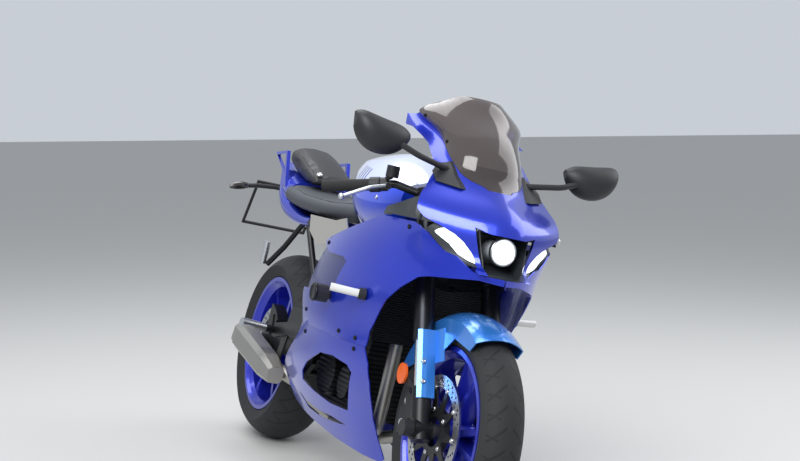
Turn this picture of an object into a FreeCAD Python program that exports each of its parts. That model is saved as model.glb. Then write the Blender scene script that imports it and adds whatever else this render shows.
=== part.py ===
"""Sport motorcycle with a full fairing, parked on its side stand.

The model is drawn upright in the bike's own frame, in millimetres: X forward from the rear
axle, Y to the rider's left, Z up from the ground.  Every piece is then leaned over onto the
side stand by one placement, which also moves the origin to the centre of the footprint.
"""
import FreeCAD
import Part
import math
import os
import Sketcher
from FreeCAD import Placement, Rotation, Vector

doc = FreeCAD.newDocument("sport_motorcycle")
sheet = doc.addObject("Spreadsheet::Sheet", "sizes")

# alias, value in millimetres, degrees or a count
SIZES = [
    ("wheelbase", 1395), ("rake_deg", 23.67), ("lean_deg", 12.5),
    ("front_tyre_radius", 300), ("front_tyre_width", 120), ("front_rim_width", 89),
    ("rear_tyre_radius", 315), ("rear_tyre_width", 180), ("rear_rim_width", 140),
    ("bead_seat_radius", 216), ("flange_height", 11), ("flange_wall", 5), ("tyre_wall", 7),
    ("front_hub_radius", 43), ("front_hub_half", 46), ("rear_hub_radius", 52), ("rear_hub_half", 62),
    ("axle_radius", 12), ("pin_clearance", 0.08), ("liner_gap", 0.4), ("seat_clearance", 0.3),
    ("spoke_pairs", 5), ("spoke_width", 17), ("spoke_splay_deg", 13),
    ("front_disc_radius", 149), ("front_disc_inner", 116), ("front_disc_offset", 62),
    ("rear_disc_radius", 122), ("rear_disc_inner", 88), ("rear_disc_offset", 72), ("disc_thickness", 5),
    ("disc_holes", 24), ("disc_hole_radius", 3.6),
    ("fork_spacing", 200), ("fork_outer_radius", 27), ("fork_inner_radius", 20.5), ("fork_offset", 38),
    ("fork_seal_height", 240), ("fork_top_height", 668), ("fork_foot_height", 112), ("fork_foot_radius", 26),
    ("lower_clamp_height", 430), ("upper_clamp_height", 618), ("clamp_thickness", 30),
    ("stem_radius", 14), ("stem_bore_radius", 8.5), ("head_tube_radius", 27), ("head_tube_gap", 3),
    ("bar_radius", 11), ("grip_radius", 16.5), ("grip_length", 118),
    ("fender_gap", 18), ("fender_wall", 3), ("fender_half_width", 71),
    ("panel_wall", 3),
    ("frame_tube_radius", 18), ("subframe_tube_radius", 12),
    ("pivot_x", 575), ("pivot_z", 400), ("pivot_bolt_radius", 9),
    ("arm_wall", 32), ("arm_offset", 112), ("rear_sprocket_radius", 104), ("front_sprocket_radius", 40),
    ("sprocket_offset", 106), ("sprocket_thickness", 6), ("chain_roller_radius", 5), ("chain_plate_wall", 1.8),
    ("slider_radius", 25), ("axle_bobbin_radius", 22), 
    ("header_pipe_radius", 19), ("plate_width", 245), ("plate_height", 185), ("plate_rim", 9),
    ("stand_leg_radius", 11), ("peg_radius", 14), ("peg_length", 88),
]
for row, (alias, value) in enumerate(SIZES, 1):
    sheet.set("A%d" % row, alias)
    sheet.set("B%d" % row, str(value))
    sheet.setAlias("B%d" % row, alias)
doc.recompute()


def size(alias):
    return float(sheet.get(alias))


SUB_PARTS = []


def keep(name, shape):
    """Store a finished solid shape of the bike frame as one named sub-part."""
    piece = doc.addObject("Part::Feature", name)
    piece.Label = name
    piece.Shape = shape
    SUB_PARTS.append(piece)
    return piece


def fuse(shapes):
    whole = shapes[0].multiFuse(shapes[1:]) if len(shapes) > 1 else shapes[0]
    return whole.removeSplitter()


def together(shapes):
    """Solids that belong to one sub-part and don't touch."""
    return Part.makeCompound(shapes)


def mirrored(shape):
    return shape.mirror(Vector(0, 0, 0), Vector(0, 1, 0))


def both_sides(shape):
    return together([shape, mirrored(shape)])


def largest(shape):
    """The biggest of the solids that a cut leaves."""
    return max(shape.Solids, key=lambda solid: solid.Volume)


def polygon(points):
    return Part.Face(Part.makePolygon(list(points) + [points[0]]))


def side_plate(outline, y_low, y_high):
    """A plate whose outline is given as (x, z) in the side view, between two widths."""
    face = polygon([Vector(x, y_low, z) for x, z in outline])
    return face.extrude(Vector(0, y_high - y_low, 0))


def rod(start, end, radius):
    axis = end - start
    return Part.makeCylinder(radius, axis.Length, start, axis)


def block(low, high):
    span = high - low
    return Part.makeBox(span.x, span.y, span.z, low)


def bent_path(points, bend_radius):
    """A path of straight runs joined by tangent arcs."""
    edges = []
    start = points[0]
    for before, corner, after in zip(points, points[1:], points[2:]):
        into = (corner - before).normalize()
        out = (after - corner).normalize()
        half_turn = into.getAngle(out) / 2
        cut = bend_radius * math.tan(half_turn)
        cut = min(cut, 0.48 * (corner - before).Length, 0.48 * (after - corner).Length)
        arc_start = corner - into * cut
        arc_end = corner + out * cut
        radius = cut / math.tan(half_turn)
        inward = (out - into).normalize()
        centre = corner + inward * (radius / math.cos(half_turn))
        middle = centre - inward * radius
        edges.append(Part.LineSegment(start, arc_start).toShape())
        edges.append(Part.Arc(arc_start, middle, arc_end).toShape())
        start = arc_end
    edges.append(Part.LineSegment(start, points[-1]).toShape())
    return Part.Wire(edges)


def tube(points, radius, bend_radius, wall=0):
    """A round bar, or a pipe of that wall, swept along a bent path."""
    path = bent_path(points, bend_radius)
    direction = points[1] - points[0]

    def sweep(r):
        ring = Part.Wire(Part.makeCircle(r, points[0], direction))
        return path.makePipeShell([ring], True, False)

    solid = sweep(radius)
    return solid.cut(sweep(radius - wall)) if wall else solid


def turned(profile, centre, degrees=360):
    """A closed (radius, y) profile turned about the wheel axis through a centre."""
    points = [Vector(centre.x, centre.y + y, centre.z + r) for r, y in profile]
    return polygon(points).revolve(centre, Vector(0, 1, 0), degrees)


def arc_through(a, b, c):
    return Part.Arc(a, b, c).toShape()


def line(a, b):
    return Part.LineSegment(a, b).toShape()


def loft(wires):
    return Part.makeLoft(wires, True, False)


# Fork frame: height along the steering axis above the front axle, reach forward of the legs
RAKE = math.radians(size("rake_deg"))
UP_FORK = Vector(-math.sin(RAKE), 0, math.cos(RAKE))
OUT_FORK = Vector(math.cos(RAKE), 0, math.sin(RAKE))
REAR_AXLE = Vector(0, 0, size("rear_tyre_radius"))
FRONT_AXLE = Vector(size("wheelbase"), 0, size("front_tyre_radius"))
LEG_Y = size("fork_spacing") / 2


def fork_point(height, reach, y):
    return FRONT_AXLE + UP_FORK * height + OUT_FORK * reach + Vector(0, y, 0)


def fork_rod(low, high, reach, y, radius):
    return rod(fork_point(low, reach, y), fork_point(high, reach, y), radius)


def fork_plate(outline, y_low, y_high):
    """A plate whose outline is (height, reach) in the fork frame, between two widths."""
    face = polygon([fork_point(h, r, y_low) for h, r in outline])
    return face.extrude(Vector(0, y_high - y_low, 0))


# Wheels: cast rims with paired spokes, tyres, drilled discs
def rim(centre, rim_width, hub_radius, hub_half):
    half = rim_width / 2
    seat = size("bead_seat_radius")
    tip = seat + size("flange_height")
    edge = half + size("flange_wall")
    half_profile = [(tip, edge), (tip, half), (seat, half), (seat, half - 12), (seat - 13, half - 20)]
    inside = [(seat - 2, edge), (seat - 8, half - 4), (seat - 19, half - 16)]
    mirror_half = [(r, -y) for r, y in reversed(half_profile)]
    profile = half_profile + mirror_half + [(r, -y) for r, y in inside] + [(r, y) for r, y in reversed(inside)]
    barrel = turned(profile, centre)
    hub = rod(centre - Vector(0, hub_half, 0), centre + Vector(0, hub_half, 0), hub_radius)
    inner_r = hub_radius * 0.8
    outer_r = seat - 17
    pieces = [barrel, hub]
    pairs = int(size("spoke_pairs"))
    splay = size("spoke_splay_deg")
    for pair in range(pairs):
        for side in (-1, 1):
            root = math.radians(pair * 360 / pairs + side * splay * 0.75)
            tip_angle = math.radians(pair * 360 / pairs + side * splay)
            pieces.append(spoke(centre, root, tip_angle, inner_r, outer_r, hub_half * 0.62, half * 0.42))
    bore = rod(centre - Vector(0, hub_half + 1, 0), centre + Vector(0, hub_half + 1, 0),
               size("axle_radius") + size("pin_clearance"))
    return fuse(pieces).cut(bore)


def spoke(centre, root_angle, tip_angle, root_r, tip_r, root_half, tip_half):
    """One blade of a spoke pair, thick at the hub and slim at the rim."""
    wires = []
    for angle, r, half, width in ((root_angle, root_r, root_half, size("spoke_width") * 1.25),
                                  (tip_angle, tip_r, tip_half, size("spoke_width") * 0.8)):
        out = Vector(math.cos(angle), 0, math.sin(angle))
        across = Vector(-math.sin(angle), 0, math.cos(angle)) * (width / 2)
        deep = Vector(0, half, 0)
        mid = centre + out * r
        wires.append(Part.makePolygon([mid + across + deep, mid - across + deep, mid - across - deep,
                                       mid + across - deep, mid + across + deep]))
    return Part.makeLoft(wires, True, True)


def tyre(centre, radius, width, rim_width):
    """A hollow tyre: arcs for the crown and the inside, straight walls down to the beads."""
    half = width / 2
    bead_y = rim_width / 2 - size("seat_clearance")
    bead_r = size("bead_seat_radius") + size("seat_clearance")
    lip_r = size("bead_seat_radius") + size("flange_height") + 2
    wall = size("tyre_wall")
    shoulder_r = lip_r + (radius - lip_r) * 0.42

    def at(r, y):
        return Vector(centre.x, centre.y + y, centre.z + r)

    crown = arc_through(at(shoulder_r, half), at(radius, 0), at(shoulder_r, -half))
    inner_crown = arc_through(at(shoulder_r, -half + wall), at(radius - wall, 0), at(shoulder_r, half - wall))
    right = [at(shoulder_r, -half), at(lip_r + 2, -bead_y - size("flange_wall")), at(lip_r, -bead_y),
             at(bead_r, -bead_y), at(bead_r, -bead_y + 9), at(lip_r + 4, -bead_y + 6), at(shoulder_r, -half + wall)]
    left = [at(centre.z * 0 + p.z - centre.z, -(p.y - centre.y)) for p in reversed(right)]
    edges = [crown] + [line(a, b) for a, b in zip(right, right[1:])] + [inner_crown]
    edges += [line(a, b) for a, b in zip(left, left[1:])]
    return Part.Face(Part.Wire(edges)).revolve(centre, Vector(0, 1, 0), 360)


def disc_body(name, centre, radius_alias, inner_alias, y):
    """A drilled brake disc as a padded ring with a round pattern of holes."""
    body = doc.addObject("PartDesign::Body", name)
    body.Label = name
    plane = [f for f in body.Origin.OriginFeatures if f.Role == "XZ_Plane"][0]
    ring = body.newObject("Sketcher::SketchObject", name + "_ring")
    ring.AttachmentSupport = (plane, [""])
    ring.MapMode = "FlatFace"
    for number, alias in enumerate((radius_alias, inner_alias)):
        ring.addGeometry(Part.Circle(Vector(0, 0, 0), Vector(0, 0, 1), size(alias)), False)
        ring.addConstraint(Sketcher.Constraint("Coincident", number, 3, -1, 1))
        radius_index = ring.addConstraint(Sketcher.Constraint("Radius", number, size(alias)))
        ring.setExpression("Constraints[%d]" % radius_index, "sizes.%s" % alias)
    pad = body.newObject("PartDesign::Pad", name + "_pad")
    pad.Profile = ring
    pad.Midplane = True
    pad.setExpression("Length", "sizes.disc_thickness")
    holes = body.newObject("Sketcher::SketchObject", name + "_holes")
    holes.AttachmentSupport = (plane, [""])
    holes.MapMode = "FlatFace"
    for number, share in enumerate((0.25, 0.5, 0.75)):
        turn = math.radians(7.5 * (number - 1) * 0.55)
        pitch = size(inner_alias) + (size(radius_alias) - size(inner_alias)) * share
        spot = Vector(pitch * math.cos(turn), pitch * math.sin(turn), 0)
        holes.addGeometry(Part.Circle(spot, Vector(0, 0, 1), size("disc_hole_radius")), False)
    drill = body.newObject("PartDesign::Pocket", name + "_drill")
    drill.Profile = holes
    drill.Midplane = True
    drill.Type = 1
    doc.recompute()
    pattern = body.newObject("PartDesign::PolarPattern", name + "_pattern")
    pattern.Originals = [drill]
    pattern.Axis = (holes, ["N_Axis"])
    pattern.Angle = 360
    pattern.setExpression("Occurrences", "sizes.disc_holes")
    body.Tip = pattern
    doc.recompute()
    return body


def carrier(centre, outer_r, inner_r, y, arms):
    """The dark centre of a disc: a hub ring with arms that reach the disc's inner edge."""
    half = size("disc_thickness") / 2
    start = centre + Vector(0, y - half, 0)
    ring = rod(start, start + Vector(0, 2 * half, 0), inner_r + 10)
    ring = ring.cut(rod(start - Vector(0, 1, 0), start + Vector(0, 2 * half + 1, 0), inner_r))
    pieces = [ring]
    for number in range(arms):
        angle = 2 * math.pi * number / arms
        out = Vector(math.cos(angle), 0, math.sin(angle))
        across = Vector(-math.sin(angle), 0, math.cos(angle))
        near = start + out * (inner_r + 5)
        far = start + out * outer_r
        face = polygon([near + across * 15, far + across * 6, far - across * 6, near - across * 15])
        pieces.append(face.extrude(Vector(0, 2 * half, 0)))
    return fuse(pieces).common(rod(start, start + Vector(0, 2 * half, 0), outer_r))


WHEELS = [
    # name, centre, tyre radius, tyre width, rim width, hub radius, half hub
    ("front", FRONT_AXLE, "front_tyre_radius", "front_tyre_width", "front_rim_width",
     "front_hub_radius", "front_hub_half"),
    ("rear", REAR_AXLE, "rear_tyre_radius", "rear_tyre_width", "rear_rim_width",
     "rear_hub_radius", "rear_hub_half"),
]
for name, centre, tyre_r, tyre_w, rim_w, hub_r, hub_half in WHEELS:
    keep(name + "_rim", rim(centre, size(rim_w), size(hub_r), size(hub_half)))
    keep(name + "_tyre", tyre(centre, size(tyre_r), size(tyre_w), size(rim_w)))

disc_template = disc_body("disc_template", FRONT_AXLE, "front_disc_radius", "front_disc_inner", 0)
rear_template = disc_body("rear_disc_template", REAR_AXLE, "rear_disc_radius", "rear_disc_inner", 0)


def placed(shape, offset):
    copy = shape.copy()
    copy.translate(offset)
    return copy


inner_disc_r = size("front_disc_inner")
half_disc = size("disc_thickness") / 2
front_carrier = carrier(FRONT_AXLE, inner_disc_r, 52, size("front_disc_offset"), 10)
boss = rod(FRONT_AXLE + Vector(0, size("front_hub_half"), 0),
           FRONT_AXLE + Vector(0, size("front_disc_offset") + half_disc, 0), 62)
boss = boss.cut(rod(FRONT_AXLE, FRONT_AXLE + Vector(0, 100, 0), 40))
front_ring = placed(disc_template.Shape, FRONT_AXLE + Vector(0, size("front_disc_offset"), 0))
keep("front_brake_discs", both_sides(fuse([front_carrier, boss, front_ring])))
rear_carrier = carrier(REAR_AXLE, size("rear_disc_inner"), 48, -size("rear_disc_offset"), 6)
rear_boss = rod(REAR_AXLE - Vector(0, size("rear_disc_offset") + half_disc, 0),
                REAR_AXLE - Vector(0, size("rear_hub_half"), 0), 58)
rear_boss = rear_boss.cut(rod(REAR_AXLE - Vector(0, 100, 0), REAR_AXLE, 40))
rear_ring = placed(rear_template.Shape, REAR_AXLE - Vector(0, size("rear_disc_offset"), 0))
keep("rear_brake_disc", fuse([rear_carrier, rear_boss, rear_ring]))


# Final drive: sprocket on the wheel, chain as one fixed loop on the swingarm
CHAIN_Y = size("sprocket_offset")
FRONT_SPROCKET = Vector(size("pivot_x") + 85, CHAIN_Y, size("pivot_z") - 8)


def sprocket(centre, pitch_radius, teeth, bore):
    """A plate whose rim has shallow teeth, kept below the chain's rollers."""
    root = pitch_radius - size("chain_roller_radius") - 4
    tip = pitch_radius - size("chain_roller_radius") - 1
    half = size("sprocket_thickness") / 2
    points = []
    for tooth in range(teeth):
        for share, r in ((-0.30, root), (-0.12, tip), (0.12, tip), (0.30, root)):
            angle = 2 * math.pi * (tooth + share) / teeth
            points.append(centre + Vector(r * math.cos(angle), -half, r * math.sin(angle)))
    plate = polygon(points).extrude(Vector(0, 2 * half, 0))
    hole = rod(centre - Vector(0, half + 1, 0), centre + Vector(0, half + 1, 0), bore)
    plate = plate.cut(hole)
    if pitch_radius < 60:
        return plate
    for number in range(6):
        angle = math.pi * number / 3
        spot = centre + Vector(math.cos(angle), 0, math.sin(angle)) * (pitch_radius * 0.76)
        plate = plate.cut(rod(spot - Vector(0, half + 1, 0), spot + Vector(0, half + 1, 0), 12))
    return plate


rear_sprocket_centre = REAR_AXLE + Vector(0, CHAIN_Y, 0)
sprocket_hub = rod(REAR_AXLE + Vector(0, size("rear_hub_half"), 0),
                   rear_sprocket_centre - Vector(0, size("sprocket_thickness") / 2, 0), 60)
sprocket_hub = sprocket_hub.cut(rod(REAR_AXLE, rear_sprocket_centre, 44))
keep("rear_sprocket", sprocket(rear_sprocket_centre, size("rear_sprocket_radius"), 42, 44)
     .fuse(sprocket_hub).removeSplitter())


def belt_wire(offset, y):
    """The closed line around both sprockets, moved outward by an offset."""
    big = size("rear_sprocket_radius") + offset
    small = size("front_sprocket_radius") + offset
    gap = FRONT_SPROCKET.x - REAR_AXLE.x
    rise = FRONT_SPROCKET.z - REAR_AXLE.z
    span = math.hypot(gap, rise)
    slope = math.atan2(rise, gap)
    swing = math.acos((big - small) / span)

    def on(centre, r, angle):
        return Vector(centre.x + r * math.cos(angle), y, centre.z + r * math.sin(angle))

    up, down = slope + swing, slope - swing
    edges = [line(on(REAR_AXLE, big, up), on(FRONT_SPROCKET, small, up)),
             arc_through(on(FRONT_SPROCKET, small, up), on(FRONT_SPROCKET, small, slope),
                         on(FRONT_SPROCKET, small, down)),
             line(on(FRONT_SPROCKET, small, down), on(REAR_AXLE, big, down)),
             arc_through(on(REAR_AXLE, big, down), on(REAR_AXLE, big, slope + math.pi),
                         on(REAR_AXLE, big, up))]
    return Part.Wire(edges)


def chain():
    """Two rows of side plates, and the rollers that hold them together outside the teeth."""
    roller = size("chain_roller_radius")
    wall = size("chain_plate_wall")
    gap = size("sprocket_thickness") / 2 + 5
    pieces = []
    for low in (CHAIN_Y - gap - wall, CHAIN_Y + gap):
        outer = Part.Face(belt_wire(roller + 1, low))
        band = outer.cut(Part.Face(belt_wire(-roller - 1, low)))
        pieces.append(band.extrude(Vector(0, wall, 0)))
    outer = Part.Face(belt_wire(roller, CHAIN_Y - gap))
    core = outer.cut(Part.Face(belt_wire(0, CHAIN_Y - gap))).extrude(Vector(0, 2 * gap, 0))
    return fuse(pieces + [core])


keep("drive_chain", chain())


# Fairing volumes: horizontal slices joined into one solid, so a skin is the difference
# of two such volumes and everything inside can be trimmed to the same surface
def circle_of(a, b, c):
    curve = arc_through(a, b, c).Curve
    return curve.Center, curve.Radius


def shrunk(point, centre, radius, inset):
    return centre + (point - centre) * ((radius - inset) / radius)


# height, then x and half width at the beak, cheek, corner, middle and rear
SIDE_ROWS = [
    (455, 1420, 80, 1380, 116, 1320, 141, 950, 222, 600, 200),
    (560, 1460, 40, 1405, 104, 1330, 150, 960, 240, 600, 205),
    (660, 1485, 4, 1422, 100, 1345, 164, 980, 246, 600, 190),
    (740, 1497, 4, 1445, 92, 1350, 172, 1020, 236, 600, 165),
    (780, 1478, 10, 1425, 118, 1350, 184, 1050, 226, 600, 150),
    (830, 1460, 20, 1400, 140, 1345, 190, 1100, 212, 600, 130),
]
# height, then x and half width at the front, middle and rear
BELLY_ROWS = [
    (140, 1240, 5, 850, 80, 440, 70),
    (220, 1260, 15, 850, 130, 440, 115),
    (300, 1310, 45, 900, 175, 450, 160),
    (390, 1370, 95, 930, 212, 560, 190),
    (466, 1402, 109, 951, 223.9, 600, 200.5),
]


def moved_in(points, inset):
    """Points of joined arcs, three to an arc, each moved in across its arcs by an inset."""
    moved = []
    for number, point in enumerate(points):
        across = Vector(0, 0, 0)
        for first in range(0, len(points) - 1, 2):
            if first <= number <= first + 2:
                centre, radius = circle_of(*points[first:first + 3])
                across += (point - centre) / radius
        moved.append(point - across.normalize() * inset)
    return moved


def flank_skin(rows, inset, wall):
    """A right-hand skin of even thickness, set in from the flank surface by an inset."""
    wires = []
    for z, *places in rows:
        points = [Vector(x, -y, z) for x, y in zip(places[::2], places[1::2])]
        out = moved_in(points, inset)
        back = moved_in(points, inset + wall)[::-1]
        edges = [arc_through(*out[i:i + 3]) for i in range(0, len(out) - 1, 2)] + [line(out[-1], back[0])]
        edges += [arc_through(*back[i:i + 3]) for i in range(0, len(back) - 1, 2)] + [line(back[-1], out[0])]
        wires.append(Part.Wire(edges))
    return loft(wires)


# height, nose x, shoulder x and half width, rear x and half width
NOSE_ROWS = [
    (690, 1500, 1490, 40, 1412, 120),
    (740, 1500, 1490, 38, 1392, 166),
    (815, 1484, 1474, 40, 1338, 216),
    (856, 1473, 1463, 40, 1330, 222),
    (917, 1400, 1390, 40, 1296, 200),
    (960, 1346, 1315, 82, 1258, 176),
    (1023, 1316, 1227, 110, 1176, 184),
    (1085, 1266, 1135, 121, 1070, 180),
    (1150, 1195, 1040, 126, 965, 172),
    (1195, 1110, 965, 124, 900, 160),
]


def nose_slice(row, inset):
    """Points of one slice: right rear, middle and shoulder, tip, then the same on the left."""
    z, nx, sx, sy, rx, ry = row
    depth = nx - sx
    radius = (depth * depth + sy * sy) / (2 * depth)
    centre = Vector(nx - radius, 0, z)
    shoulder = Vector(sx, -sy, z)
    outward = (shoulder - centre).normalize()
    rear = Vector(rx, -ry, z)
    chord = rear - shoulder
    flank_radius = -chord.Length * chord.Length / (2 * chord.dot(outward))
    flank_centre = shoulder - outward * flank_radius
    halfway = (shoulder + rear) * 0.5
    middle = flank_centre + (halfway - flank_centre).normalize() * abs(flank_radius)
    right = [shrunk(rear, flank_centre, flank_radius, inset), shrunk(middle, flank_centre, flank_radius, inset),
             shoulder - outward * inset]
    left = [Vector(p.x, -p.y, z) for p in reversed(right)]
    return right + [Vector(nx - inset, 0, z)] + left


def nose_skin(inset, wall):
    """A skin of the nose: a round front running tangentially into each flank."""
    wires = []
    for row in NOSE_ROWS:
        a = nose_slice(row, inset)
        b = nose_slice(row, inset + wall)
        wires.append(Part.Wire([arc_through(a[0], a[1], a[2]), arc_through(a[2], a[3], a[4]),
                                arc_through(a[4], a[5], a[6]), line(a[6], b[6]),
                                arc_through(b[6], b[5], b[4]), arc_through(b[4], b[3], b[2]),
                                arc_through(b[2], b[1], b[0]), line(b[0], a[0])]))
    return loft(wires)


def nose_volume(inset):
    """The closed volume inside the nose surface, for trimming what it holds."""
    wires = []
    for row in NOSE_ROWS[:5]:
        a = nose_slice(row, inset)
        wires.append(Part.Wire([arc_through(a[0], a[1], a[2]), arc_through(a[2], a[3], a[4]),
                                arc_through(a[4], a[5], a[6]), line(a[6], a[0])]))
    return loft(wires)


WALL = size("panel_wall")
side_skin = flank_skin(SIDE_ROWS, 0, WALL)
belly_skin = flank_skin(BELLY_ROWS, 0, WALL)
nose_shell = nose_skin(0, WALL)
liner_shell = nose_skin(9, WALL)

SIDE_OUTLINE = [(1510, 722), (1470, 721), (1455, 727), (1443, 739), (1426, 757), (1400, 765), (1384, 780),
                (1362, 803), (1335, 816), (1309, 822), (1234, 822), (1129, 822), (1036, 797), (902, 759),
                (742, 717), (690, 668), (655, 630), (620, 585), (605, 550), (630, 525), (660, 500), (677, 465),
                (1142, 463), (1152, 507), (1181, 542), (1228, 602), (1281, 646), (1336, 683), (1366, 691),
                (1420, 699), (1466, 708), (1510, 704)]
RECESS = [(560, 740), (742, 712), (847, 687), (978, 686), (1007, 675), (972, 631), (945, 590), (900, 578),
          (560, 560)]
TRAY = [(748, 719), (850, 698), (980, 697), (1020, 680), (984, 628), (956, 584), (905, 568), (612, 556),
        (622, 586), (657, 631), (692, 669)]
TRAY_DEPTH = 12
BELLY_OUTLINE = [(677, 464.5), (1142, 462.5), (1158, 420), (1150, 370), (1120, 314), (1093, 264), (1083, 210),
                 (1092, 159), (1070, 146), (981, 146), (814, 157), (596, 184), (472, 212), (464, 254), (463, 310),
                 (510, 345)]
LEFT_BELLY_OUTLINE = BELLY_OUTLINE[:11] + [(660, 176), (650, 300), (668, 420)]
VENT = [(717, 325), (773, 360), (879, 402), (967, 408), (1052, 398), (1071, 380), (975, 262), (877, 262),
        (776, 278), (702, 297)]
LOWER_SLOT = [(608, 250), (659, 232), (760, 221), (851, 222), (930, 214), (851, 206), (760, 203), (659, 211)]
SCREEN_EDGE = [(1362, 940), (1351, 947), (1327, 956), (1314, 962), (1296, 972), (1266, 995), (1228, 1022),
               (1158, 1070), (1072, 1123)]
SCREEN_OUTLINE = SCREEN_EDGE + [(1138, 1184), (1300, 1200), (1540, 1000), (1540, 940)]
NOSE_OUTLINE = [(x - 0.4, z - 0.5) for x, z in SCREEN_EDGE] + [
    (1003, 1108), (1087, 1076), (1160, 1038), (1211, 1004), (1249, 976), (1267, 960), (1305, 917), (1327, 884),
    (1341, 856), (1357, 840.5), (1392, 825.5), (1416, 812.5), (1432, 797), (1446, 773), (1459, 747.5),
    (1471, 738), (1482, 729), (1490, 724), (1580, 724), (1580, 939.5)]
LAMP_STRIP = [(1359, 837), (1391, 822), (1413, 809.5), (1428, 795), (1442, 772), (1455, 748), (1443, 752),
              (1425, 763), (1407, 785), (1378, 805), (1363, 826)]
LINER_OUTLINE = [(1332, 842), (1324, 880), (1302, 912), (1420, 905), (1540, 860), (1540, 700), (1420, 700),
                 (1400, 716), (1352, 770)]
LINER_SEAT = [(1345, 866), (1345, 892), (1385, 892), (1385, 866)]
INFILL_OUTLINE = [(1104, 826), (1348, 826), (1348, 852), (1326, 882), (1290, 890), (1180, 862), (1104, 848)]
INFILL_ROWS = [(820, 1352, 206, 1230, 214, 1100, 206), (980, 1336, 166, 1250, 168, 1150, 170)]


def right_panel(skin, outline):
    return skin.common(side_plate(outline, -320, -2))


right_side = right_panel(side_skin, SIDE_OUTLINE).cut(side_plate(RECESS, -320, 0))
tray_deep = flank_skin(SIDE_ROWS, WALL + size("seat_clearance"), TRAY_DEPTH - size("seat_clearance"))
tray_room = flank_skin(SIDE_ROWS, -WALL, TRAY_DEPTH + WALL)
recess_cover = right_panel(tray_deep, TRAY).cut(right_panel(tray_room, RECESS))
slider_hole = rod(Vector(925, -320, 572), Vector(925, -100, 572), 13)
right_side = right_side.cut(slider_hole)
recess_cover = recess_cover.cut(slider_hole)
keep("side_cowls", both_sides(right_side))
keep("side_recess_panels", both_sides(recess_cover))
vents = side_plate(VENT, -320, 0).fuse(side_plate(LOWER_SLOT, -320, 0))
right_belly = right_panel(belly_skin, BELLY_OUTLINE).cut(vents)
left_belly = mirrored(right_panel(belly_skin, LEFT_BELLY_OUTLINE).cut(vents))
keep("belly_cowls", together([right_belly, left_belly]))

# half width and height of the lamp duct's mouth and of its back
DUCT_MOUTH = [(88, 839), (80, 808), (68, 769), (54, 724), (54, 700)]
DUCT_BROW = (51, 829)
DUCT_BACK = [(49, 825), (43, 755)]
mouth = [(-y, z) for y, z in DUCT_MOUTH] + DUCT_MOUTH[::-1] + [DUCT_BROW, (-DUCT_BROW[0], DUCT_BROW[1])]
duct_cut = polygon([Vector(1300, y, z) for y, z in mouth]).extrude(Vector(300, 0, 0))
keep("nose_cowl", nose_shell.common(side_plate(NOSE_OUTLINE, -320, 320)).cut(duct_cut))
keep("windscreen", nose_shell.common(side_plate(SCREEN_OUTLINE, -320, 320)))
lamp_volume = nose_skin(1, 7.6)
lamp_strip = lamp_volume.common(side_plate(LAMP_STRIP, -320, -60))
outside_cowl = flank_skin(SIDE_ROWS, -40, 40 + WALL + size("liner_gap"))
liner = liner_shell.common(side_plate(LINER_OUTLINE, -320, 320)).cut(duct_cut)
liner_seat = nose_skin(WALL + size("seat_clearance"), 6.2).common(side_plate(LINER_SEAT, -320, 320))
infill = right_panel(flank_skin(INFILL_ROWS, 0, WALL), INFILL_OUTLINE)


def duct_loft(back_x, front_x, extra):
    """The four-sided funnel from the lamp to the mouth, larger all round by an extra."""
    wires = []
    for x, (high_y, high_z), (low_y, low_z) in ((back_x, *DUCT_BACK),
                                                (front_x, (86, 839), (50, 724))):
        wires.append(polygon([Vector(x, y, z) for y, z in (
            (-high_y - extra, high_z + extra), (high_y + extra, high_z + extra),
            (low_y + extra, low_z - extra), (-low_y - extra, low_z - extra))]).OuterWire)
    return loft(wires)


# Headlamp in its duct
LAMP_X = 1383
duct = duct_loft(LAMP_X - 3, 1480, 3).cut(duct_loft(LAMP_X, 1481, 0)).common(nose_volume(9.5))
inner = fuse([liner, liner_seat, infill, mirrored(infill), duct])
inner = inner.cut(outside_cowl).cut(mirrored(outside_cowl))
keep("inner_panels", largest(inner))
lamp_centre = Vector(LAMP_X + 0.3, 0, 790)
headlamp = rod(lamp_centre, lamp_centre + Vector(60, 0, 0), 30)
lamp_strip = largest(lamp_strip.cut(outside_cowl))
keep("front_lamps", together([headlamp, lamp_strip, mirrored(lamp_strip)]))


# Steering: clamps, legs, bars, fender, calipers
def clamp(height, outline, radius_of_legs):
    """A triple clamp drawn in the plane across the steering axis."""
    half = size("clamp_thickness") / 2
    face = polygon([fork_point(height - half, reach, y) for reach, y in outline])
    plate = face.extrude(UP_FORK * (2 * half))
    pieces = [plate]
    for y in (-LEG_Y, LEG_Y):
        pieces.append(fork_rod(height - half, height + half, 0, y, radius_of_legs + 9))
    pieces.append(fork_rod(height - half, height + half, -size("fork_offset"), 0, 32))
    whole = fuse(pieces)
    for y in (-LEG_Y, LEG_Y):
        whole = whole.cut(fork_rod(height - half - 1, height + half + 1, 0, y,
                                   radius_of_legs + size("seat_clearance")))
    return whole


OFFSET = size("fork_offset")
LOWER = size("lower_clamp_height")
UPPER = size("upper_clamp_height")
HALF_CLAMP = size("clamp_thickness") / 2
LEG_R = size("fork_outer_radius")
lower_clamp = clamp(LOWER, [(-OFFSET - 24, -30), (-12, -LEG_Y), (14, -LEG_Y), (-6, -30), (-6, 30), (14, LEG_Y),
                            (-12, LEG_Y), (-OFFSET - 24, 30)], LEG_R)
upper_clamp = clamp(UPPER, [(-OFFSET - 24, -30), (-14, -LEG_Y), (14, -LEG_Y), (-12, -30), (-12, 30), (14, LEG_Y),
                            (-14, LEG_Y), (-OFFSET - 24, 30)], LEG_R)
stem = fork_rod(LOWER - HALF_CLAMP, UPPER + HALF_CLAMP + 8, -OFFSET, 0, size("stem_radius"))
stem_bore = fork_rod(LOWER - HALF_CLAMP - 1, UPPER + HALF_CLAMP + 20, -OFFSET, 0, size("stem_bore_radius"))
clamps = fuse([lower_clamp, upper_clamp, stem]).cut(stem_bore)
keep("triple_clamps", clamps)

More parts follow.
